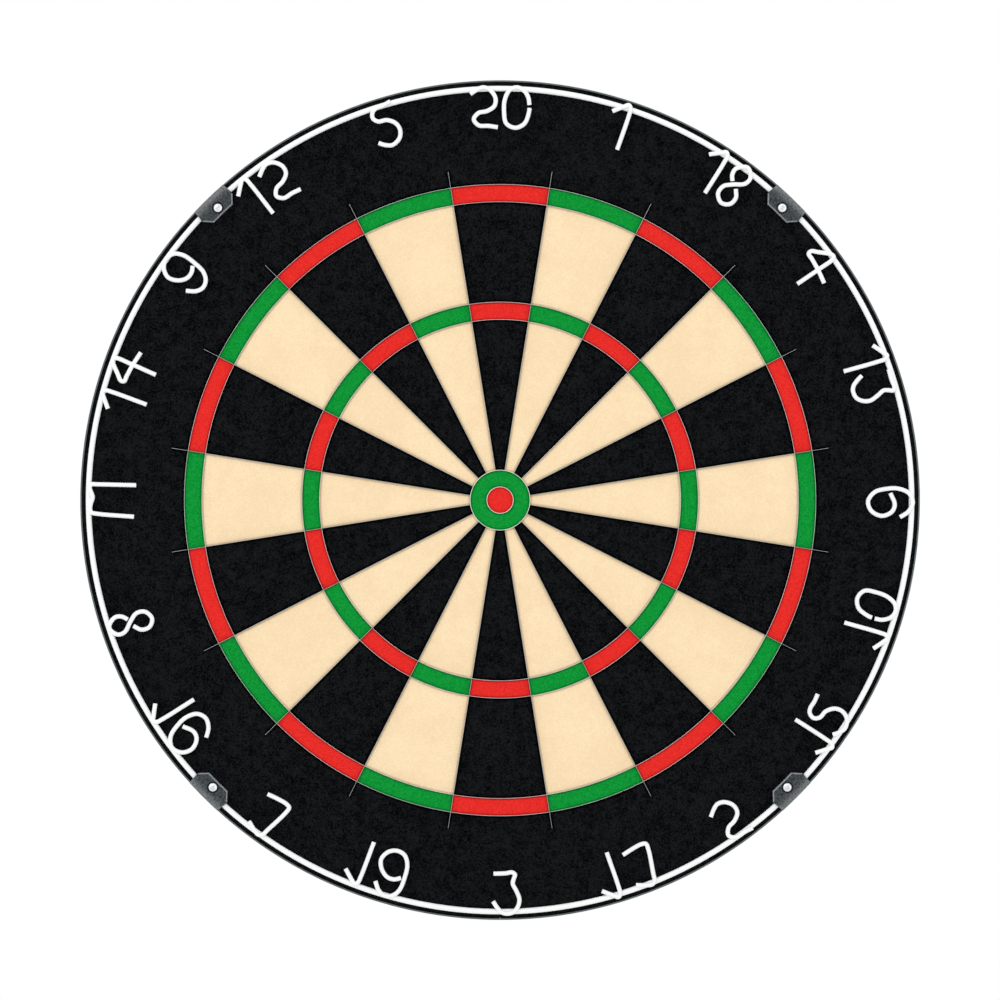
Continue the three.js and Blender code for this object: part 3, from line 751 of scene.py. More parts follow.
# The blades are one steel in three tones: the scoring rings, and the bull still more, are lighter
# copies of the radials' steel, a painted highlight
BLADE_STEEL = Brushed("blade_steel_bright", colour=0xB4B8BA, roughness=0.32, line=0.4)
RING_STEEL = Brushed("ring_steel_painted_highlight", colour=0xE0E4E4, roughness=0.3, line=0.4)
BULL_STEEL = Brushed("bull_steel_painted_highlight", colour=0xF3F3EA, roughness=0.3, line=0.4, contrast=0.06)
RING_COAT = PowderCoat("ring_white_coat")
CLIP_PLASTIC = Moulding("clip_plastic_grey", colour=0x2C3133, grain_size=0.75, streak_length=2.2)
# A near-black copy of the clip's plastic, which paints the shade in the pins' seats
SEAT_SHADE = Moulding("clip_seat_painted_shade", colour=0x0B0C0D, painted_highlight=0x2A2D2F, roughness=0.8)
WHEEL_PLASTIC = Moulding("leveller_plastic_black", colour=0x1B1D1F, painted_highlight=0x3A3D40)
PIN_NICKEL = Plated("pin_nickel", colour=0xFBFCFC, painted_shade=0xD0D5D7, roughness=0.3)
ZINC = Plated("zinc_plate", colour=0xC9CDD2, painted_shade=0x8E9296, roughness=0.36)
STUDIO_FLOOR = Backdrop("studio_floor")


# Geometry Nodes


class Tree:
    """A Geometry Nodes tree with named inputs, run on a piece and turned into its mesh."""

    kinds = {int: "NodeSocketInt", float: "NodeSocketFloat", Vector: "NodeSocketVector"}

    def __init__(self, name: str, inputs: dict[str, type]) -> None:
        """Starts the tree.

        Args:
            name: the tree's name.
            inputs: the type of each input by name.
        """
        self.group = bpy.data.node_groups.new(name, "GeometryNodeTree")
        face = self.group.interface
        face.new_socket("Geometry", in_out="INPUT", socket_type="NodeSocketGeometry")
        face.new_socket("Geometry", in_out="OUTPUT", socket_type="NodeSocketGeometry")
        for label, kind in inputs.items():
            face.new_socket(label, in_out="INPUT", socket_type=self.kinds[kind])
        face.new_socket("Material", in_out="INPUT", socket_type="NodeSocketMaterial")
        self.graph = Graph(self.group)
        self.given = self.graph.add("NodeGroupInput").outputs

    def end(self, made: Socket) -> None:
        """Realizes what was made, gives it its material and passes it out."""
        real = self.graph.add("GeometryNodeRealizeInstances", {0: made}).outputs[0]
        inputs = {"Geometry": real, "Material": self.given["Material"]}
        dressed = self.graph.add("GeometryNodeSetMaterial", inputs).outputs[0]
        self.graph.add("NodeGroupOutput", {0: dressed})

    def run(self, source: Piece, name: str, finish: Finish, sharp: float = CRISP,
            **values: object) -> Piece:
        """Runs the tree on an object.

        Args:
            source: the object that it starts from, which is removed.
            name: the new object's name.
            finish: what the result is finished in.
            sharp: edges that bend further than this many degrees stay crisp.
            values: a value for each input, its name's words joined by underscores.

        Returns:
            The result as a plain mesh object.
        """
        step = source.modifiers.new("tree", "NODES")
        step.node_group = self.group
        named = {key.replace("_", " ").title(): value for key, value in values.items()}
        named["Material"] = finish.material()
        for item in self.group.interface.items_tree:
            if item.in_out == "INPUT" and item.name in named:
                step[item.identifier] = named[item.name]
        return settled(source, name, sharp)


class FanTree(Tree):
    """Repeats a piece clockwise round an axis that stands out of the face."""

    def __init__(self) -> None:
        """Builds the tree: points at the centre, each copy turned one step further."""
        super().__init__("fan", {"Count": int, "First": float, "Step": float, "Centre": Vector})
        graph, given = self.graph, self.given
        points = {"Count": given["Count"], "Position": given["Centre"]}
        stands = graph.add("GeometryNodePoints", points).outputs[0]
        index = graph.add("GeometryNodeInputIndex").outputs[0]
        steps = graph.number("MULTIPLY", index, given["Step"])
        angle = graph.number("RADIANS", graph.number("ADD", given["First"], steps))
        inputs = {"Axis": (0.0, 1.0, 0.0), "Angle": angle}
        turn = graph.add("FunctionNodeAxisAngleToRotation", inputs).outputs[0]
        inputs = {"Points": stands, "Instance": given["Geometry"], "Rotation": turn}
        self.end(graph.add("GeometryNodeInstanceOnPoints", inputs).outputs[0])

    def around(self, source: Piece, name: str, finish: Finish, count: int, first: float = 0.0,
               step: float | None = None, centre: Point = AXIS) -> Piece:
        """Repeats a piece, evenly round the whole turn unless a step is given.

        Args:
            source: the piece, drawn at the top, which is removed.
            name: the new object's name.
            finish: what the result is finished in.
            count: how many copies there are.
            first: the angle of the first copy.
            step: the angle from each copy to the next.
            centre: where the axis stands, in the frame.

        Returns:
            The copies as one plain mesh object.
        """
        return self.run(source, name, finish, count=count, first=first, centre=centre,
                        step=360 / count if step is None else step)


class WireTree(Tree):
    """Makes round wire, cut square at its ends, along every line of a piece."""

    def __init__(self) -> None:
        """Builds the tree: lines to curves, and a round section swept along them."""
        super().__init__("bent_wire", {"Wire Radius": float, "Sides": int})
        graph, given = self.graph, self.given
        lines = graph.add("GeometryNodeMeshToCurve", {0: given["Geometry"]}).outputs[0]
        inputs = {"Resolution": given["Sides"], "Radius": given["Wire Radius"]}
        section = graph.add("GeometryNodeCurvePrimitiveCircle", inputs).outputs[0]
        share = graph.add("GeometryNodeInputNamedAttribute", {0: WIRE_SHARE}, data_type="FLOAT")
        inputs = {"Curve": lines, "Profile Curve": section, "Scale": share.outputs[0],
                  "Fill Caps": True}
        self.end(graph.add("GeometryNodeCurveToMesh", inputs).outputs[0])


# Sub-assemblies


@dataclass
class RimBand:
    """The steel band round the rim, closed by a plate and two rivets at its foot."""

    fan: FanTree
    radius: float = 225.5
    thickness: float = 0.9
    depth: float = 38.0
    edge_rounding: float = 0.15
    back_rounding: float = 0.25
    seam_width: float = 0.1
    segments: int = 288
    rivet_spacing: float = 26.0
    rivet_height: float = 4.75
    rivet_shank: float = 1.6
    rivet_head: float = 2.6
    rivet_rise: float = 0.32
    rivet_sink: float = 0.05
    plate_room: float = 2.1

    def build(self, frame: dict) -> None:
        """Makes the band and its rivets, and dresses the plate inside."""
        hand_over(self.strip().piece("band_strip", BAND_STEEL), "board", "band", "rim_band")
        half = math.degrees(self.rivet_spacing / 2 / self.radius)
        rivets = self.fan.around(self.rivet().piece("rivet", ZINC), "band_rivets", ZINC, count=2,
                                 first=180 - half, step=2 * half)
        hand_over(rivets, "board", "steel", "band_rivet_1", "band_rivet_2")
        dress(frame, "band_joint_plate", ZINC)

    def section(self) -> list[Flat]:
        """Gives the strip cut across, as radius and height, with its edges rounded."""
        inner, outer = self.radius - self.thickness, self.radius
        front, back = self.depth, self.back_rounding
        r = self.edge_rounding
        curve = [math.radians(a) for a in (0, 30, 60, 90)]
        return [
            (inner, back), (inner + back, 0.0), (outer - back, 0.0), (outer, back),
            *[(outer - r + r * math.cos(a), front - r + r * math.sin(a)) for a in curve],
            *[(inner + r - r * math.sin(a), front - r + r * math.cos(a)) for a in curve],
        ]

    def strip(self) -> Sketch:
        """Draws the strip, bent round from one side of its seam to the other."""
        half = math.degrees(self.seam_width / 2 / self.radius)
        rows = [
            [clockwise((0.0, r, h), angle) for r, h in self.section()]
            for angle in spaced(180 + half, 540 - half, self.segments)
        ]
        band = Sketch()
        band.skin(rows, caps=True)
        return band

    def rivet(self) -> Sketch:
        """Draws one rivet along the radius, at the top of the board."""
        shank, head = self.rivet_shank, self.rivet_head
        seat = self.radius - self.thickness - self.plate_room
        face = self.radius - self.rivet_sink
        pin = Sketch()
        pin.turning(
            [(0.0, seat - 1.0), (head - 0.3, seat - 1.0), (head, seat - 0.7), (head, seat),
             (shank, seat), (shank, face), (head, face),
             *domed(head, face, self.rivet_rise, math.pi / 2, 5)], 24)
        return pin.moved(lambda p: (p[0], p[2], self.rivet_height + p[1]))


def dress(frame: dict, node: str, finish: Finish) -> None:
    """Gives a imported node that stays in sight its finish, and reports it."""
    kept = frame["nodes"][node]
    if not kept.material_slots:
        kept.data.materials.append(None)
    for place in kept.material_slots:
        place.material = finish.material()
    LOG.info("%s keeps its shape, in %s", node, finish.name)


@dataclass
class Core:
    """The backboard and the two layers of sisal."""

    radius: float = 224.3
    backboard: float = 9.5
    layer_height: float = 23.5
    face_height: float = 37.5
    edge_rounding: float = 0.35
    edge_middle: float = 0.1
    rings: tuple[float, ...] = tuple(RINGS.values())
    blade_reach: float = BLADE_REACH
    sectors: int = SECTORS
    dip_depth: float = 0.45
    dip_offsets: tuple[float, ...] = (0.17, 0.36, 0.62, 0.95)
    dip_fade: Flat = (-0.6, 0.4)
    bed_columns: int = 2
    bed_rows: tuple[float, ...] = (
        0.0, 2.2, 4.4, 9.6, 12.0, 13.8, 22.0, 30.0, 40.0, 52.0, 64.0, 76.0, 88.0, 112.0, 122.0,
        132.0, 142.0, 152.0, 173.0, 176.0, 178.4, 178.8, 179.2, 179.8, 182.0, 192.0, 203.0, 214.0,
        221.0)
    narrow_step: float = 2.4
    face_sharp: float = 50.0
    disc_segments: int = 256
    hole_segments: int = 32
    socket_hole: float = 8.3
    socket_depth: float = 8.3
    screw_hole: float = 3.3
    small_hole: float = 1.9
    small_depth: float = 6.3
    small_angles: tuple[float, ...] = (60.0, 180.0, 300.0)

    def build(self, frame: dict) -> None:
        """Makes the backboard and the face, and dresses the layer between them."""
        hand_over(self.board(), "board", "fibreboard", "backboard")
        dress(frame, "sisal_rear_layer", REAR_SISAL)
        face = self.face().piece("playing_face", FACE_SISAL, self.face_sharp)
        hand_over(face, "board", "face_sisal", "sisal_face_layer")

    def board(self) -> Piece:
        """Makes the backboard, with the holes for what is screwed and pressed into it."""
        r, high, edge, middle = self.radius, self.backboard, self.edge_rounding, self.edge_middle
        disc = Sketch()
        disc.turning([(0.0, 0.0), (r - edge, 0.0), (r - middle, middle), (r, edge), (r, high),
                      (0.0, high)], self.disc_segments)
        holes = [(LEVELLER_DISTANCE, a, self.socket_hole, self.socket_depth)
                 for a in LEVELLER_ANGLES]
        holes += [(PLATE_SCREW_DISTANCE, a, self.small_hole, self.small_depth)
                  for a in self.small_angles]
        holes.append((0.0, 0.0, self.screw_hole, self.socket_depth))
        cutters = []
        for away, angle, radius, depth in holes:
            x, y, _ = clockwise((0.0, away, 0.0), angle)
            bar = Sketch()
            bar.turning([(0.0, -1.0), (radius, -1.0), (radius, depth), (0.0, depth)],
                        self.hole_segments, (x, y))
            cutters.append(bar.piece("bore", CHIPBOARD))
        return bored(disc.piece("disc", CHIPBOARD), cutters, "backboard_disc")

    def dip(self, distance: float) -> float:
        """Gives how far the fibre is pressed down, this far from a blade."""
        return self.dip_depth * (1 - eased(distance, self.dip_offsets[0], self.dip_offsets[-1]))

    def row_radii(self) -> list[float]:
        """Gives the radii of the face's rows, close together beside each ring."""
        steps = list(self.bed_rows)
        for inner, outer in (self.rings[2:4], self.rings[4:6]):
            steps += [inner + self.narrow_step, (inner + outer) / 2, outer - self.narrow_step]
        for ring in self.rings:
            steps += [ring + side * away for away in self.dip_offsets for side in (-1, 1)]
        return sorted(steps)

    def row(self, away: float) -> list[Point]:
        """Gives one row of the face, pressed down beside the blades."""
        ring_dip = max(self.dip(abs(away - ring)) for ring in self.rings)
        bladed = self.rings[1] <= away
        fade = 1 - eased(away, *[self.blade_reach + step for step in self.dip_fade])
        half_sector = math.pi / self.sectors
        firm = max(away, self.rings[1])
        beside = [math.asin(offset / firm) for offset in self.dip_offsets]
        middle = spaced(beside[-1], half_sector, self.bed_columns + 2)[1:-1]
        side = [*beside, *middle]
        turns = [*side, half_sector, *[2 * half_sector - turn for turn in reversed(side)]]
        points = []
        for sector in range(self.sectors):
            for turn in turns:
                gap = away * math.sin(min(turn, 2 * half_sector - turn))
                low = max(ring_dip, self.dip(gap) * fade if bladed else 0.0)
                angle = (2 * sector + 1) * half_sector + turn
                points.append((away * math.sin(angle), away * math.cos(angle),
                               self.face_height - low))
        return points

    def face(self) -> Sketch:
        """Draws the face layer: the pressed face, its edge and its flat underside."""
        r, edge, middle = self.radius, self.edge_rounding, self.edge_middle
        low, high = self.layer_height, self.face_height
        rows = [self.row(away) for away in [*self.row_radii(), r - edge]]
        rim = rows[-1]
        for radius, height in [(r - middle, high - middle), (r, high - edge), (r, low),
                               (0.0, low)]:
            scale = radius / (r - edge)
            rows.append([(x * scale, y * scale, height) for x, y, _ in rim])
        layer = Sketch()
        layer.skin(rows)
        return layer


@dataclass
class Spider:
    """The blades: twenty on the radii, with the four scoring rings dropped into them."""

    fan: FanTree
    scoring: tuple[str, ...] = ("double_outer", "double_inner", "treble_outer", "treble_inner")
    scoring_segments: int = 320
    bull: tuple[str, ...] = ("outer_bull", "inner_bull")
    bull_segments: int = 128
    blade_count: int = SECTORS
    inner_end: float = 16.35
    reach: float = BLADE_REACH
    tail: float = 3.0
    tail_drop: float = 1.6
    edge_height: float = 38.5
    root_height: float = 28.5
    ring_root: float = 33.5
    root_half: float = 0.3
    edge_half: float = 0.085
    crown: float = 0.05
    notch_half: float = 0.2
    notch_clearance: float = 0.1
    ring_half: float = 0.11
    bull_half: float = 0.17
    ring_sharp: float = 20.0
    edge_curve: tuple[Flat, ...] = ((1.0, 0.16), (0.72, 0.04), (0.3, 0.0))

    def build(self) -> None:
        """Makes every blade and hands it over."""
        radials = self.fan.around(
            self.radial().piece("radial", BLADE_STEEL), "radial_blades", BLADE_STEEL,
            count=self.blade_count, first=180 / self.blade_count)
        hand_over(radials, "board", "blade_steel",
                  *[f"radial_blade_{i + 1:02d}" for i in range(self.blade_count)])
        for names, half, segments, steel in (
            (self.scoring, self.ring_half, self.scoring_segments, RING_STEEL),
            (self.bull, self.bull_half, self.bull_segments, BULL_STEEL),
        ):
            for name in names:
                blade = self.ring(RINGS[name], half, segments)
                hand_over(blade.piece(f"{name}_ring", steel, self.ring_sharp), "board",
                          "blade_steel", f"{name}_blade")

    def radial(self) -> Sketch:
        """Draws one radial blade along y: notched for the rings, and tailing off."""
        top, notch_floor = self.edge_height, self.ring_root - self.notch_clearance
        outline = [(self.inner_end, self.root_height), (self.reach, self.root_height),
                   (self.reach, top - self.tail_drop), (self.reach - self.tail, top)]
        for radius in [RINGS[name] for name in self.scoring]:
            outline += [(radius + self.notch_half, top), (radius + self.notch_half, notch_floor),
                        (radius - self.notch_half, notch_floor), (radius - self.notch_half, top)]
        outline.append((self.inner_end, top))
        depth = self.edge_height - self.root_height

        def half(height: float) -> float:
            """Gives half the blade's thickness at a height."""
            share = (height - self.root_height) / depth
            return self.root_half + (self.edge_half - self.root_half) * share

        left = [(-half(h), along, h) for along, h in outline]
        crest = [(0.0, along, h + (self.crown if h > self.ring_root else 0.0))
                 for along, h in outline]
        right = [(half(h), along, h) for along, h in outline]
        blade = Sketch()
        blade.skin([left, crest, right], caps=True)
        return blade

    def ring(self, radius: float, half: float, segments: int) -> Sketch:
        """Draws one ring's blade, its edge rounded over."""
        top = self.edge_height
        section = [(radius - half, self.ring_root), (radius + half, self.ring_root)]
        section += [(radius + half * share, top - drop) for share, drop in self.edge_curve]
        section += [(radius - half * share, top - drop) for share, drop in self.edge_curve[::-1]]
        blade = Sketch()
        blade.turning(section, segments, loop=True)
        return blade


# The wires of each figure, in shares of its height from its middle: the points that a wire bends
# through, x to the right and y up
FIGURES: dict[str, list[list[Flat]]] = {
    "zero": [[(0.29, 0.06), (0.26, 0.24), (0.15, 0.4), (0, 0.46), (-0.16, 0.4), (-0.27, 0.19),
              (-0.29, -0.08), (-0.24, -0.36), (-0.03, -0.46), (0.18, -0.36), (0.28, -0.1),
              (0.29, -0.01)]],
    "one": [[(-0.2, 0.28), (0.03, 0.46), (0.12, 0.52), (0.18, 0.46), (0.19, 0.3), (0.16, -0.53)]],
    "two": [[(-0.3, 0.3), (-0.13, 0.4), (0, 0.44), (0.15, 0.38), (0.27, 0.19), (0.24, 0.01),
             (0.07, -0.1), (-0.13, -0.14), (-0.24, -0.28), (-0.13, -0.42), (0.09, -0.44),
             (0.3, -0.48)]],
    "three": [[(-0.29, 0.45), (-0.01, 0.46), (0.13, 0.48), (0.2, 0.43), (0.17, 0.33), (0.15, 0.22),
               (0.23, 0.06), (0.3, -0.13), (0.27, -0.29), (0.17, -0.42), (0.02, -0.46),
               (-0.1, -0.43), (-0.2, -0.33), (-0.3, -0.18)]],
    "four": [[(0, -0.52), (0.07, 0.17), (0.09, 0.42), (0.06, 0.51), (-0.01, 0.51), (-0.25, 0.31),
              (-0.37, 0.2), (-0.36, 0.12), (-0.25, 0.1)],
             [(-0.28, 0.11), (0.05, 0.05), (0.38, -0.04)]],
    "five": [[(0.27, 0.48), (0.07, 0.44), (-0.09, 0.43), (-0.19, 0.37), (-0.23, 0.24),
              (-0.14, 0.13), (0.06, 0.1), (0.23, -0.03), (0.28, -0.2), (0.21, -0.38),
              (0.01, -0.48), (-0.15, -0.43), (-0.28, -0.34)]],
    "six": [[(0.33, 0.22), (0.2, 0.41), (0, 0.51), (-0.21, 0.43), (-0.32, 0.19), (-0.32, -0.07),
             (-0.24, -0.36), (-0.03, -0.51), (0.19, -0.43), (0.3, -0.2), (0.21, 0.03),
             (0.04, 0.1), (-0.22, 0)]],
    "seven": [[(-0.3, 0.4), (-0.03, 0.45), (0.18, 0.47), (0.28, 0.44), (0.29, 0.33),
               (0.18, -0.27), (0.15, -0.42), (0.07, -0.47), (-0.06, -0.44), (-0.28, -0.35)]],
    "eight": [[(-0.09, 0.05), (-0.18, 0.17), (-0.19, 0.33), (0.01, 0.5), (0.2, 0.35),
               (0.18, 0.17), (-0.04, -0.01), (-0.19, -0.17), (-0.19, -0.37), (-0.01, -0.5),
               (0.17, -0.41), (0.2, -0.22), (0.08, -0.05)]],
    "nine": [[(0.23, -0.05), (0.08, -0.12), (-0.09, -0.1), (-0.25, 0.05), (-0.31, 0.26),
              (-0.19, 0.46), (0, 0.53), (0.19, 0.47), (0.3, 0.27), (0.31, -0.02),
              (0.26, -0.33), (0.13, -0.49), (-0.04, -0.53), (-0.19, -0.45), (-0.32, -0.26)]],
    "eleven": [[(-0.37, -0.48), (-0.3, 0.37), (-0.27, 0.49), (-0.18, 0.52), (-0.06, 0.5),
                (0.08, 0.46), (0.2, 0.5), (0.3, 0.53), (0.37, 0.48), (0.37, 0.37),
                (0.35, -0.53)]],
}

# The figures of each number, clockwise from the twenty: the wire, the place of its middle from the
# hoop in shares of its height, its lean anticlockwise, and -1 where it is turned over left to right
# or top to bottom
NUMBERS: list[list[tuple[str, float, float, float, int, int]]] = [
    [("two", -0.37, -0.42, 2, 1, 1), ("zero", 0.38, -0.44, 0, 1, 1)],
    [("one", -0.1, -0.44, 1, 1, 1)],
    [("one", -0.55, -0.47, 6, 1, 1), ("eight", 0.1, -0.44, 0, 1, 1)],
    [("four", -0.04, -0.49, 4, 1, 1)],
    [("one", -0.53, -0.5, 0, 1, 1), ("three", 0.16, -0.51, -4, 1, 1)],
    [("six", 0.06, -0.49, 0, 1, 1)],
    [("one", -0.39, 0.53, 0, 1, -1), ("zero", 0.36, 0.49, 0, -1, -1)],
    [("one", -0.24, 0.47, 1, 1, -1), ("five", 0.41, 0.45, 0, 1, 1)],
    [("two", -0.05, 0.43, 2, 1, 1)],
    [("one", -0.34, 0.47, -1, 1, -1), ("seven", 0.49, 0.45, 4, 1, 1)],
    [("three", 0.14, 0.42, 0, 1, 1)],
    [("one", -0.53, 0.57, -5, 1, -1), ("nine", 0.28, 0.53, 4, 1, 1)],
    [("seven", -0.05, 0.45, 0, 1, 1)],
    [("one", -0.64, 0.56, -6, 1, -1), ("six", 0.14, 0.53, 7, 1, 1)],
    [("eight", 0.06, 0.51, -7, 1, -1)],
    [("eleven", -0.01, -0.56, 0, 1, 1)],
    [("one", -0.58, -0.52, 0, 1, 1), ("four", 0.29, -0.52, 0, 1, 1)],
    [("nine", -0.03, -0.53, 0, 1, 1)],
    [("one", -0.54, -0.54, 4, 1, 1), ("two", 0.19, -0.5, 0, 1, 1)],
    [("five", 0.16, -0.45, 0, 1, 1)],
]


@dataclass
class NumberRing:
    """The hoop of white wire with its bent-wire figures welded across the front."""

    wire: WireTree
    hoop_radius: float = 220.95
    hoop_wire: float = 1.5
    figure_wire: float = 1.18
    hoop_height: float = 39.0
    figure_height: float = 41.0
    figure_size: float = 23.53
    hoop_steps: int = 288
    bend_steps: int = 7
    sides: int = 18
    first_inward: int = 6
    last_inward: int = 14

    def build(self) -> None:
        """Bends the wires and hands over the ring."""
        lines = [[clockwise((0.0, self.hoop_radius, self.hoop_height), 360 * i / self.hoop_steps)
                  for i in range(self.hoop_steps)]]
        for index, number in enumerate(NUMBERS):
            for figure in number:
                lines += self.figure_lines(index, *figure)
        corners, edges, shares = [], [], []
        for i, line in enumerate(lines):
            start = len(corners)
            corners += [to_frame(point) for point in line]
            edges += [(start + k, start + k + 1) for k in range(len(line) - 1)]
            if i == 0:
                edges.append((start + len(line) - 1, start))
            shares += [1.0 if i == 0 else self.figure_wire / self.hoop_wire] * len(line)
        mesh = bpy.data.meshes.new("ring_lines")
        mesh.from_pydata(corners, edges, [])
        mesh.attributes.new(WIRE_SHARE, "FLOAT", "POINT").data.foreach_set("value", shares)
        source = bpy.data.objects.new("ring_lines", mesh)
        bpy.context.scene.collection.objects.link(source)
        ring = self.wire.run(source, "number_wires", RING_COAT,
                             wire_radius=self.hoop_wire * MILLIMETRE, sides=self.sides)
        hand_over(ring, "ring", "ring_wire", "number_ring")

    def figure_lines(self, index: int, name: str, x_share: float, y_share: float, lean: float,
                     left_right: int, top_bottom: int) -> list[list[Point]]:
        """Gives the middle line of each wire of one figure, in its place on the ring.

        Args:
            index: the number's place, clockwise from the twenty.
            name: the figure.
            x_share: how far its middle stands to the right, in shares of its height.
            y_share: how far its middle stands above the hoop, in shares of its height.
            lean: its lean anticlockwise, in degrees.
            left_right: -1 where it is turned over left to right.
            top_bottom: -1 where it is turned over top to bottom.

        Returns:
            The points of each wire.
        """
        inward = self.first_inward <= index <= self.last_inward
        size = -self.figure_size if inward else self.figure_size

        def place(share: Flat) -> Point:
            """Puts a point of the figure in its place on the ring."""
            x, y, _ = clockwise((share[0] * left_right, share[1] * top_bottom, 0.0), -lean)
            point = ((x + x_share) * size, self.hoop_radius + (y + y_share) * size,
                     self.figure_height)
            return clockwise(point, index * 360 / len(NUMBERS))

        return [self.bent([place(share) for share in shares]) for shares in FIGURES[name]]

    def bent(self, points: list[Point]) -> list[Point]:
        """Bends a smooth line through points, tighter where they are close together."""
        knots = [Vector(p) for p in points]
        knots = [2 * knots[0] - knots[1], *knots, 2 * knots[-1] - knots[-2]]
        line = []
        for before, start, end, after in zip(knots, knots[1:], knots[2:], knots[3:]):
            gaps = [math.sqrt((b - a).length) for a, b in
                    ((before, start), (start, end), (end, after))]
            first = ((start - before) / gaps[0] - (end - before) / (gaps[0] + gaps[1])
                     + (end - start) / gaps[1]) * gaps[1]
            last = ((end - start) / gaps[1] - (after - start) / (gaps[1] + gaps[2])
                    + (after - end) / gaps[2]) * gaps[1]
            for i in range(self.bend_steps):
                t = i / self.bend_steps
                line.append(tuple(
                    start * (2 * t**3 - 3 * t**2 + 1) + first * (t**3 - 2 * t**2 + t)
                    + end * (3 * t**2 - 2 * t**3) + last * (t**3 - t**2)))
        line.append(points[-1])
        return line


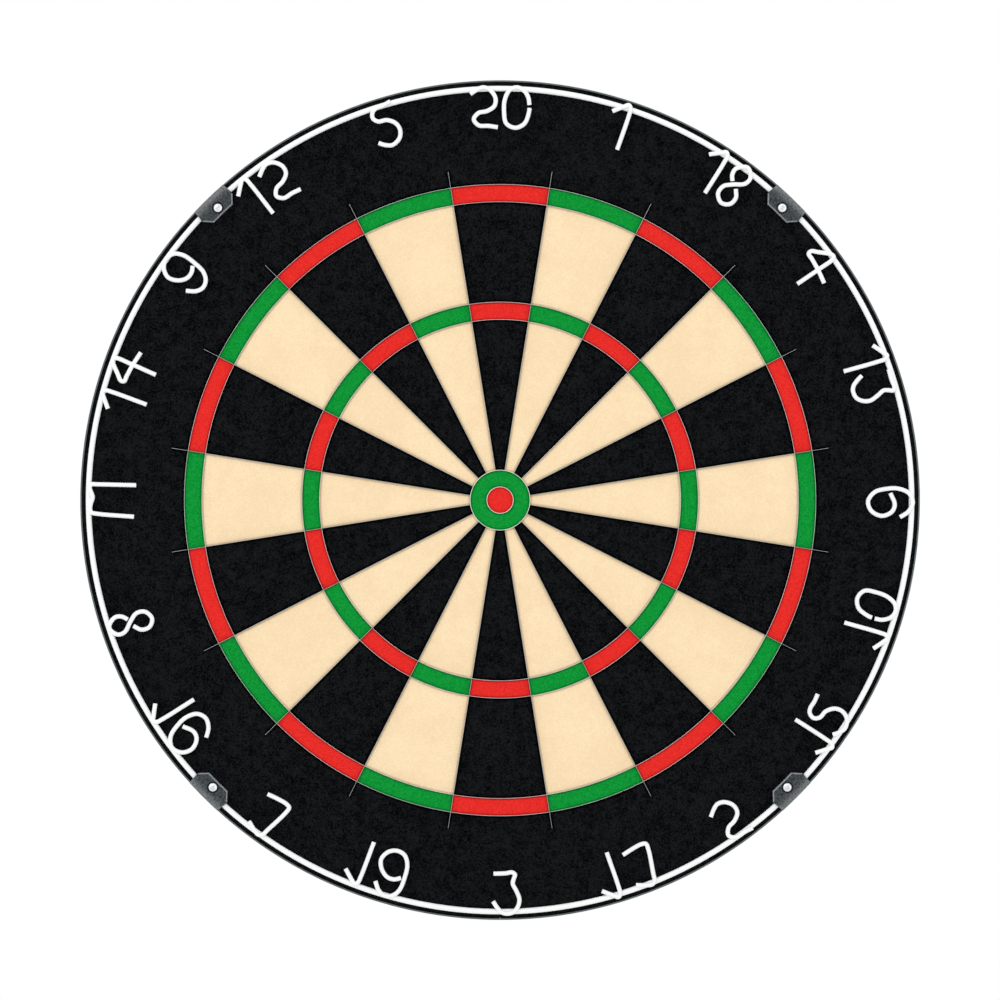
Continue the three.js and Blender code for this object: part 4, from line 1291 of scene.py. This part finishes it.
@dataclass
class RingClips:
    """Four moulded clips that bridge the hoop, each held by one pin."""

    fan: FanTree
    angles: tuple[float, ...] = (44.0, 135.0, 225.0, 316.0)
    inner_radius: float = 214.05
    shoulder_radius: float = 218.7
    outer_radius: float = 225.5
    inner_half: float = 7.0
    half_width: float = 11.1
    outer_half: float = 10.6
    base: float = 37.5
    top: float = 42.0
    crown_start: float = 221.5
    crown_foot: float = 39.5
    lip_start: float = 224.0
    lip_floor: float = 38.3
    tunnel: Flat = (219.3, 222.9)
    tunnel_roof: float = 40.8
    least_wall: float = 0.2
    bevel_steps: tuple[float, ...] = (0.0, 0.3, 0.57, 0.62)
    nose_rows: tuple[float, ...] = (1.5, 2.8, 4.2)
    nose_slant: float = 1.33
    crown_rows: int = 9
    step_width: float = 0.001
    # The bevel along the nose, within this reach, and the rounded back towards the rim are marked
    # for painted highlight
    edge_highlight_reach: float = 0.6
    crown_painted_light: float = 0.62
    pin_radius: float = 217.9
    seat_radius: float = 3.1
    seat_depth: float = 0.9
    rib_count: int = 24
    rib_pitch: float = 0.82
    rib_half: float = 0.17
    rib_height: float = 0.13
    # How much painted highlight the ribs carry, from their inner ends out to the rim
    rib_painted_light: Flat = (0.15, 0.9)
    head_radius: float = 2.35
    head_height: float = 1.1
    head_side: float = 0.1
    point_end: float = 25.5
    shank_radius: float = 1.0

    def build(self) -> None:
        """Makes the clips and their pins, and hands each pair to its body."""
        for i, angle in enumerate(self.angles, 1):
            clip = self.clip(angle, f"clip_moulding_{i}")
            hand_over(clip, f"clip_{i}", "clip_plastic", f"ring_clip_{i}")
            pin = self.pin(angle).piece(f"clip_pin_head_{i}", PIN_NICKEL)
            hand_over(pin, f"clip_{i}", "pin_steel", f"clip_pin_{i}")

    def crown(self, share: float) -> Flat:
        """Gives a point of the rounded back of the clip, as radius and height."""
        keep = 1 - share
        rise = 2 * keep * share
        return (keep**2 * self.crown_start + (rise + share**2) * self.outer_radius,
                (keep**2 + rise) * self.top + share**2 * self.crown_foot)

    def half_at(self, radius: float) -> float:
        """Gives half the clip's width at a distance from the board's axis."""
        if radius < self.shoulder_radius:
            share = (radius - self.inner_radius) / (self.shoulder_radius - self.inner_radius)
            return self.inner_half + (self.half_width - self.inner_half) * share
        share = (radius - self.shoulder_radius) / (self.outer_radius - self.shoulder_radius)
        return self.half_width + (self.outer_half - self.half_width) * share

    def sections(self) -> list[tuple[float, float, float]]:
        """Gives the radius, underside and top of each section, from the inner end out."""
        start, end = self.tunnel
        flat = [self.inner_radius + step for step in (*self.bevel_steps, *self.nose_rows)]
        flat += [self.shoulder_radius - 0.05, self.shoulder_radius + 0.05, start]
        rows = [(radius, self.base, self.top) for radius in flat]
        rows += [(start + self.step_width, self.tunnel_roof, self.top)]
        for share in spaced(0.0, 1.0, self.crown_rows):
            radius, height = self.crown(share)
            rows.append((radius, self.tunnel_roof if radius < end else
                         self.base if radius < self.lip_start else self.lip_floor, height))
        for radius, low, high in ((end, self.tunnel_roof, self.base),
                                  (self.lip_start, self.base, self.lip_floor)):
            height = self.height_at(radius)
            rows += [(radius, low, height), (radius + self.step_width, high, height)]
        return sorted(rows)

    def height_at(self, radius: float) -> float:
        """Gives the height of the clip's back at a distance from the board's axis."""
        if radius <= self.crown_start:
            return self.top
        share = 1 - math.sqrt((self.outer_radius - radius)
                              / (self.outer_radius - self.crown_start))
        return self.crown(share)[1]

    def clip(self, angle: float, name: str) -> Piece:
        """Makes one clip with its ribs, seated for its pin."""
        rows, painted_light = [], []
        for radius, low, high in self.sections():
            half = self.half_at(radius)
            on_nose = radius < self.shoulder_radius
            slant = self.nose_slant if on_nose else 1.0
            edges = [slant * step for step in self.bevel_steps]
            middle = half - edges[-1]
            offsets = [half - step for step in edges] + [middle * s for s in (0.7, 0.35, 0.0)]
            across = [-x for x in offsets] + offsets[-2::-1]
            # Painted highlight: the bevel along the nose, and the rounded back more and more
            # towards the rim, are marked to be painted lighter
            crown_painted_light = self.crown_painted_light * eased(radius, self.crown_start - 1, self.lip_start)
            top_row, painted_marks = [], []
            for x in across:
                inward = min((half - abs(x)) / slant, radius - self.inner_radius)
                drop = max(0.0, self.bevel_steps[-1] - inward)
                height = max(low + self.least_wall, high - drop)
                top_row.append((x, math.sqrt(radius**2 - x**2), height))
                edge = 1.0 if inward < self.edge_highlight_reach and on_nose else 0.0
                painted_marks.append(max(edge, crown_painted_light))
            under = [(x, y, low) for x, y, _ in reversed(top_row)]
            rows.append([clockwise(p, angle) for p in top_row + under])
            painted_light.append(painted_marks + painted_marks[::-1])
        body = Sketch()
        body.skin(rows, caps=True, painted_light=painted_light)
        x, y, _ = clockwise((0.0, self.pin_radius, 0.0), angle)
        floor, rim = self.top - self.seat_depth, self.top + 1
        seat = Sketch()
        seat.turning([(0.0, floor), (self.seat_radius, floor), (self.seat_radius, rim),
                      (0.0, rim)], 48, (x, y))
        # The seat is cut with the near-black finish, which paints shade on its walls and floor
        shell = bored(body.piece("clip_body", CLIP_PLASTIC),
                      [seat.piece("pin_seat", SEAT_SHADE)], "clip_shell")
        step = math.degrees(self.rib_pitch / self.outer_radius)
        ribs = self.fan.around(
            self.rib().piece("rib", CLIP_PLASTIC), "clip_ribs", CLIP_PLASTIC,
            count=self.rib_count, first=angle - step * (self.rib_count - 1) / 2, step=step)
        return joined(name, [shell, ribs])

    def rib(self) -> Sketch:
        """Draws one fine rib over the rounded back, at the top of the board."""
        rows = []
        half = self.rib_half
        for share in spaced(0.02, 0.97, self.crown_rows):
            radius, height = self.crown(share)
            high, low = height + self.rib_height, height - 0.1
            rows.append([(-half, radius, low), (-half * 0.6, radius, high),
                         (half * 0.6, radius, high), (half, radius, low)])
        # Painted highlight on each rib, more towards the rim
        painted_marks = [[painted_light] * 4 for painted_light in spaced(*self.rib_painted_light, self.crown_rows)]
        rib = Sketch()
        rib.skin(rows, caps=True, painted_light=painted_marks)
        return rib

    def pin(self, angle: float) -> Sketch:
        """Draws one pin: a domed head with a dimple, a shank and a point."""
        x, y, _ = clockwise((0.0, self.pin_radius, 0.0), angle)
        seat, head, shank = self.top - self.seat_depth, self.head_radius, self.shank_radius
        dome = domed(head, self.top + self.head_side, self.head_height - self.head_side, 1.2, 9)
        peak = dome[-1][1]
        outline = [(0.0, self.point_end), (shank, self.point_end + 2.0), (shank, seat),
                   (head - 0.15, seat), (head, seat + 0.2), *dome, (0.75, peak + 0.04),
                   (0.45, peak - 0.02), (0.0, peak - 0.05)]
        # Painted shade: the middle of the head, round its dimple, is marked to be painted a duller
        # grey
        painted_light = [0.0] * (len(outline) - 6) + [0.25, 0.75, 1.0, 1.0, 1.0, 1.0]
        pin = Sketch()
        pin.turning(outline, 40, (x, y), painted_light=painted_light)
        return pin


class Recess(Enum):
    """The cross recess of each screw head: its length, width and depth."""

    LARGE = (9.0, 1.9, 1.7)
    SMALL = (3.6, 0.9, 0.9)

    def cutters(self, centre: Flat, head_end: float) -> list[Piece]:
        """Makes the two bars of the cross that is cut from a head.

        Args:
            centre: where the screw stands.
            head_end: the height at which its head ends, behind the board.

        Returns:
            The bars, one across the other.
        """
        length, width, depth = self.value
        bars = []
        for across, along in ((length, width), (width, length)):
            rows = []
            for height, share in ((head_end - 0.5, 1.1), (head_end + depth, 0.6)):
                x, y = across / 2 * share, along / 2 * share
                rows.append([(centre[0] + i * x, centre[1] + j * y, height)
                             for i, j in ((-1, -1), (1, -1), (1, 1), (-1, 1))])
            bar = Sketch()
            bar.skin(rows, caps=True)
            bars.append(bar.piece("recess", ZINC))
        return bars


@dataclass
class Hanger:
    """The plate behind the board, its three screws and the hanging screw."""

    fan: FanTree
    plate_radius: float = 25.0
    plate_thickness: float = 2.0
    bore: float = 3.3
    screw_distance: float = PLATE_SCREW_DISTANCE
    screw_head: float = 3.2
    screw_side: float = 0.3
    screw_rise: float = 1.6
    screw_shank: float = 1.6
    screw_bite: float = 6.0
    head_radius: float = 10.0
    head_height: float = 3.0
    neck_radius: float = 4.0
    neck_length: float = 7.0
    shank_radius: float = 3.0
    shank_end: float = 8.0

    def build(self) -> None:
        """Makes the plate and its screws."""
        hand_over(self.plate().piece("hanger_plate", ZINC), "board", "steel", "hanging_plate")
        screws = self.fan.around(self.plate_screw(), "plate_screws", ZINC, count=3, first=60.0)
        hand_over(screws, "board", "steel", *[f"plate_screw_{i}" for i in (1, 2, 3)])
        hand_over(self.hanging_screw(), "board", "steel", "hanging_screw")

    def plate(self) -> Sketch:
        """Draws the plate with its edge turned over and a pressed ring round its middle."""
        r, low = self.plate_radius, -self.plate_thickness
        plate = Sketch()
        plate.turning([(self.bore, 0.0), (r, 0.0), (r, low + 0.6), (r - 0.2, low + 0.15),
                       (r - 0.7, low), (13.0, low), (12.6, low + 0.35), (11.6, low + 0.35),
                       (11.2, low), (self.bore, low)], 96, loop=True)
        return plate

    def plate_screw(self) -> Piece:
        """Makes one small pan-headed screw at the top of the plate."""
        seat, head = -self.plate_thickness, self.screw_head
        dome = domed(head, seat - self.screw_side, self.screw_side - self.screw_rise, 1.35, 7)
        end = dome[-1][1]
        shank = Sketch()
        shank.turning([(0.0, self.screw_bite), (self.screw_shank, self.screw_bite - 1.6),
                       (self.screw_shank, seat), (head, seat), *dome, (0.0, end)], 32,
                      (0.0, self.screw_distance))
        bars = Recess.SMALL.cutters((0.0, self.screw_distance), end)
        return bored(shank.piece("small_screw", ZINC), bars, "small_screw_cut")

    def hanging_screw(self) -> Piece:
        """Makes the screw whose head the wall bracket takes."""
        under = -self.plate_thickness - self.neck_length
        end, r = under - self.head_height, self.head_radius
        screw = Sketch()
        screw.turning([
            (0.0, end), (r - 2.2, end), (r - 1.2, end + 0.25), (r - 0.35, end + 0.9),
            (r, end + 1.6), (r, under - 0.2), (r - 0.2, under), (self.neck_radius, under),
            (self.neck_radius, -self.plate_thickness), (self.shank_radius, -self.plate_thickness),
            (self.shank_radius, self.shank_end), (0.0, self.shank_end)], 64)
        bars = Recess.LARGE.cutters((0.0, 0.0), end)
        return bored(screw.piece("screw_blank", ZINC), bars, "bracket_screw")


@dataclass
class Levellers:
    """Three wheels behind the board, each with its socket and the foot that it drives."""

    fan: FanTree
    angles: tuple[float, ...] = LEVELLER_ANGLES
    distance: float = LEVELLER_DISTANCE
    wheel_radius: float = 24.0
    wheel_steps: int = 144
    lobe_height: float = 0.9
    lobes: int = 12
    wheel_inner: float = -1.9
    wheel_outer: float = -11.1
    recess_radius: float = 7.4
    recess_end: float = -8.4
    nut_radius: float = 4.4
    grip_count: int = 48
    spindle_radius: float = 4.0
    spindle_sides: int = 32
    spindle_root: float = 0.6
    spindle_end: float = 7.0
    key_flat: float = 3.0
    thread_pitch: float = 2.5
    thread_depth: float = 0.3
    thread_row: float = 0.25
    pad_radius: float = 11.0
    pad_face: float = -14.0
    pad_back: float = -11.5

    def build(self) -> None:
        """Makes the sockets, and a wheel and a foot for each."""
        sockets = self.fan.around(self.socket().piece("socket", WHEEL_PLASTIC),
                                  "leveller_housings", WHEEL_PLASTIC, count=len(self.angles))
        hand_over(sockets, "board", "leveller_plastic",
                  *[f"leveller_socket_{i}" for i in (1, 2, 3)])
        for i, angle in enumerate(self.angles, 1):
            hand_over(self.wheel(angle, f"wheel_knob_{i}"), f"wheel_{i}", "leveller_plastic",
                      f"levelling_wheel_{i}")
            foot = self.foot().moved(lambda p, a=angle: self.seated(p, a))
            hand_over(foot.piece(f"foot_pad_and_spindle_{i}", WHEEL_PLASTIC), f"foot_{i}",
                      "leveller_plastic", f"levelling_foot_{i}")

    def seated(self, point: Point, angle: float) -> Point:
        """Moves a point from a leveller's own middle to its place on the board."""
        x, y, z = point
        return clockwise((x, y + self.distance, z), angle)

    def socket(self) -> Sketch:
        """Draws the topmost socket: a flanged bush pressed into the backboard."""
        housing = Sketch()
        housing.turning([
            (4.3, -7.8), (4.5, -8.0), (6.8, -8.0), (7.0, -7.8), (7.0, -1.5), (13.6, -1.5),
            (14.0, -1.1), (14.0, 0.0), (8.0, 0.0), (8.0, 7.6), (7.6, 8.0), (4.3, 8.0)],
            64, (0.0, self.distance), loop=True)
        return housing

    def wheel(self, angle: float, name: str) -> Piece:
        """Makes one wheel with its lobes and a ring of fine grips on its outer side."""
        low, high, full = self.wheel_outer, self.wheel_inner, self.wheel_radius
        section = [
            (self.nut_radius, low + 0.3, 0.0), (self.nut_radius, self.recess_end, 0.0),
            (self.recess_radius, self.recess_end, 0.0), (self.recess_radius, high, 0.0),
            (full - 2.4, high, 0.0), (full - 0.9, high - 0.2, 0.6), (full - 0.25, high - 0.7, 0.9),
            (full, high - 1.5, 1.0), (full, low + 1.7, 1.0), (full - 0.25, low + 0.8, 0.9),
            (full - 0.9, low + 0.2, 0.6), (full - 2.4, low, 0.0), (14.6, low, 0.0),
            (14.0, low + 0.9, 0.0), (8.4, low + 0.9, 0.0), (7.8, low, 0.0),
            (self.nut_radius + 0.3, low, 0.0)]
        rows = []
        for radius, height, lobed in section:
            row = []
            for turn in full_turn(self.wheel_steps):
                dip = lobed * self.lobe_height * (1 - math.cos(turn * self.lobes)) / 2
                reach = radius - dip
                row.append(self.seated((reach * math.sin(turn), reach * math.cos(turn), height),
                                       angle))
            rows.append(row)
        body = Sketch()
        body.skin(rows, loop=True)
        grip = Sketch()
        grip.skin([
            [(-0.5 * s, 16.2 + 0.3 * k, h), (0.5 * s, 16.2 + 0.3 * k, h),
             (0.5 * s, 20.4 - 0.3 * k, h), (-0.5 * s, 20.4 - 0.3 * k, h)]
            for s, k, h in ((1.0, 0.0, low + 0.1), (0.55, 1.0, low - 0.25))], caps=True)
        grips = self.fan.around(
            grip.piece("grip", WHEEL_PLASTIC), "grips", WHEEL_PLASTIC, count=self.grip_count,
            centre=to_frame(self.seated((0.0, 0.0, 0.0), angle)))
        return joined(name, [body.piece("wheel_body", WHEEL_PLASTIC), grips])

    def foot(self) -> Sketch:
        """Draws a foot round its own axis: a grooved pad on a threaded, flatted spindle."""
        face, back, r = self.pad_face, self.pad_back, self.pad_radius
        outline: list[Flat] = [(0.0, face)]
        for groove in (3.0, 6.2, 9.0):
            outline += [(groove - 0.5, face), (groove - 0.35, face + 0.5),
                        (groove + 0.35, face + 0.5), (groove + 0.5, face)]
        outline += [(r - 0.8, face), (r - 0.2, face + 0.25), (r, face + 0.8), (r, back - 0.2),
                    (r - 0.2, back), (0.0, back)]
        foot = Sketch()
        foot.turning(outline, 72)
        count = int((self.spindle_end - back) / self.thread_row)
        rows = []
        for height in spaced(back - self.spindle_root, self.spindle_end, count):
            row = []
            for turn in full_turn(self.spindle_sides):
                phase = (height / self.thread_pitch - turn / (2 * math.pi)) % 1.0
                reach = self.spindle_radius - self.thread_depth * (1 - abs(2 * phase - 1))
                row.append((min(reach * math.sin(turn), self.key_flat), reach * math.cos(turn),
                            height))
            rows.append(row)
        foot.skin(rows, caps=True)
        return foot


@dataclass
class Studio:
    """The floor, the soft lights and the camera."""

    view_distance: float = 3.2
    board_front: float = -0.038
    picture_width: float = 0.53709
    centre_shift: float = -0.00005
    sensor: float = 36.0
    sight: Flat = (0.1, 50.0)
    floor_height: float = -0.45
    floor_radius: float = 1.6
    floor_thickness: float = 0.012
    floor_rounding: float = 0.004
    room_light: float = 0.91
    key_place: Point = (-1.7, -2.9, 2.0)
    key_power: float = 19.5
    key_size: float = 2.0
    fill_place: Point = (1.6, -2.9, -0.9)
    fill_power: float = 7.7
    fill_size: float = 3.0

    def build(self) -> None:
        """Sets up the whole studio."""
        self.camera()
        self.floor()
        self.world()
        self.lamp("key", self.key_place, self.key_power, self.key_size)
        self.lamp("fill", self.fill_place, self.fill_power, self.fill_size)
        bpy.context.scene.view_settings.view_transform = "Standard"

    def camera(self) -> None:
        """Stands the camera square to the board, as far off as the picture's frame needs."""
        lens = bpy.data.cameras.new("camera")
        lens.sensor_width = self.sensor
        lens.lens = self.sensor * self.view_distance / self.picture_width
        lens.clip_start, lens.clip_end = self.sight
        camera = bpy.data.objects.new("camera", lens)
        camera.location = (self.centre_shift, self.board_front - self.view_distance,
                           -self.centre_shift)
        camera.rotation_euler = (math.pi / 2, 0.0, 0.0)
        bpy.context.scene.collection.objects.link(camera)
        bpy.context.scene.camera = camera
        LOG.info("camera %.2f m off, lens %.1f mm", self.view_distance, lens.lens)

    def floor(self) -> None:
        """Lays a round pale floor well below the board, out of the picture."""
        reach, low, thick, edge = (
            size / MILLIMETRE for size in
            (self.floor_radius, self.floor_height, self.floor_thickness, self.floor_rounding))
        outline = [(0.0, low), (reach - thick, low), (reach, low - edge), (reach, low - thick),
                   (0.0, low - thick)]
        sheet = Sketch()
        sheet.skin([[(r * math.sin(t), h, r * math.cos(t)) for t in full_turn(96)]
                    for r, h in outline])
        floor = sheet.piece("studio_floor", STUDIO_FLOOR)
        LOG.info("floor %.2f m below the middle of the board", -self.floor_height)

    def world(self) -> None:
        """Lights the room evenly, and shows the camera and every reflection plain white."""
        world = bpy.data.worlds.new("studio")
        world.use_nodes = True
        world.node_tree.nodes.clear()
        graph = Graph(world.node_tree)
        seen = graph.add("ShaderNodeLightPath").outputs
        direct = graph.number("MAXIMUM", seen["Is Camera Ray"], seen["Is Glossy Ray"])
        direct = graph.number("MAXIMUM", direct, seen["Is Transmission Ray"])
        room, shown = (
            graph.add("ShaderNodeBackground", {"Color": WHITE, "Strength": strength}).outputs[0]
            for strength in (self.room_light, 1.0))
        mixed = graph.add("ShaderNodeMixShader", {0: direct, 1: room, 2: shown})
        graph.add("ShaderNodeOutputWorld", {"Surface": mixed.outputs[0]})
        bpy.context.scene.world = world

    def lamp(self, name: str, place: Point, power: float, size: float) -> None:
        """Hangs a square softbox that faces the board.

        Args:
            name: the lamp's name.
            place: where it hangs, in metres.
            power: its power in watts.
            size: how wide it is, in metres.
        """
        light = bpy.data.lights.new(name, "AREA")
        light.shape, light.size, light.energy = "SQUARE", size, power
        lamp = bpy.data.objects.new(name, light)
        lamp.location = place
        lamp.rotation_euler = (-Vector(place)).to_track_quat("-Z", "Y").to_euler()
        bpy.context.scene.collection.objects.link(lamp)


def main() -> None:
    """Builds the studio and every sub-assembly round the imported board."""
    logging.basicConfig(level=logging.INFO, format="%(name)s: %(message)s")
    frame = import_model()
    fan, wire = FanTree(), WireTree()
    Studio().build()
    RimBand(fan).build(frame)
    Core().build(frame)
    Spider(fan).build()
    NumberRing(wire).build()
    RingClips(fan).build()
    Hanger(fan).build()
    Levellers(fan).build()


if __name__ == "__main__":
    main()
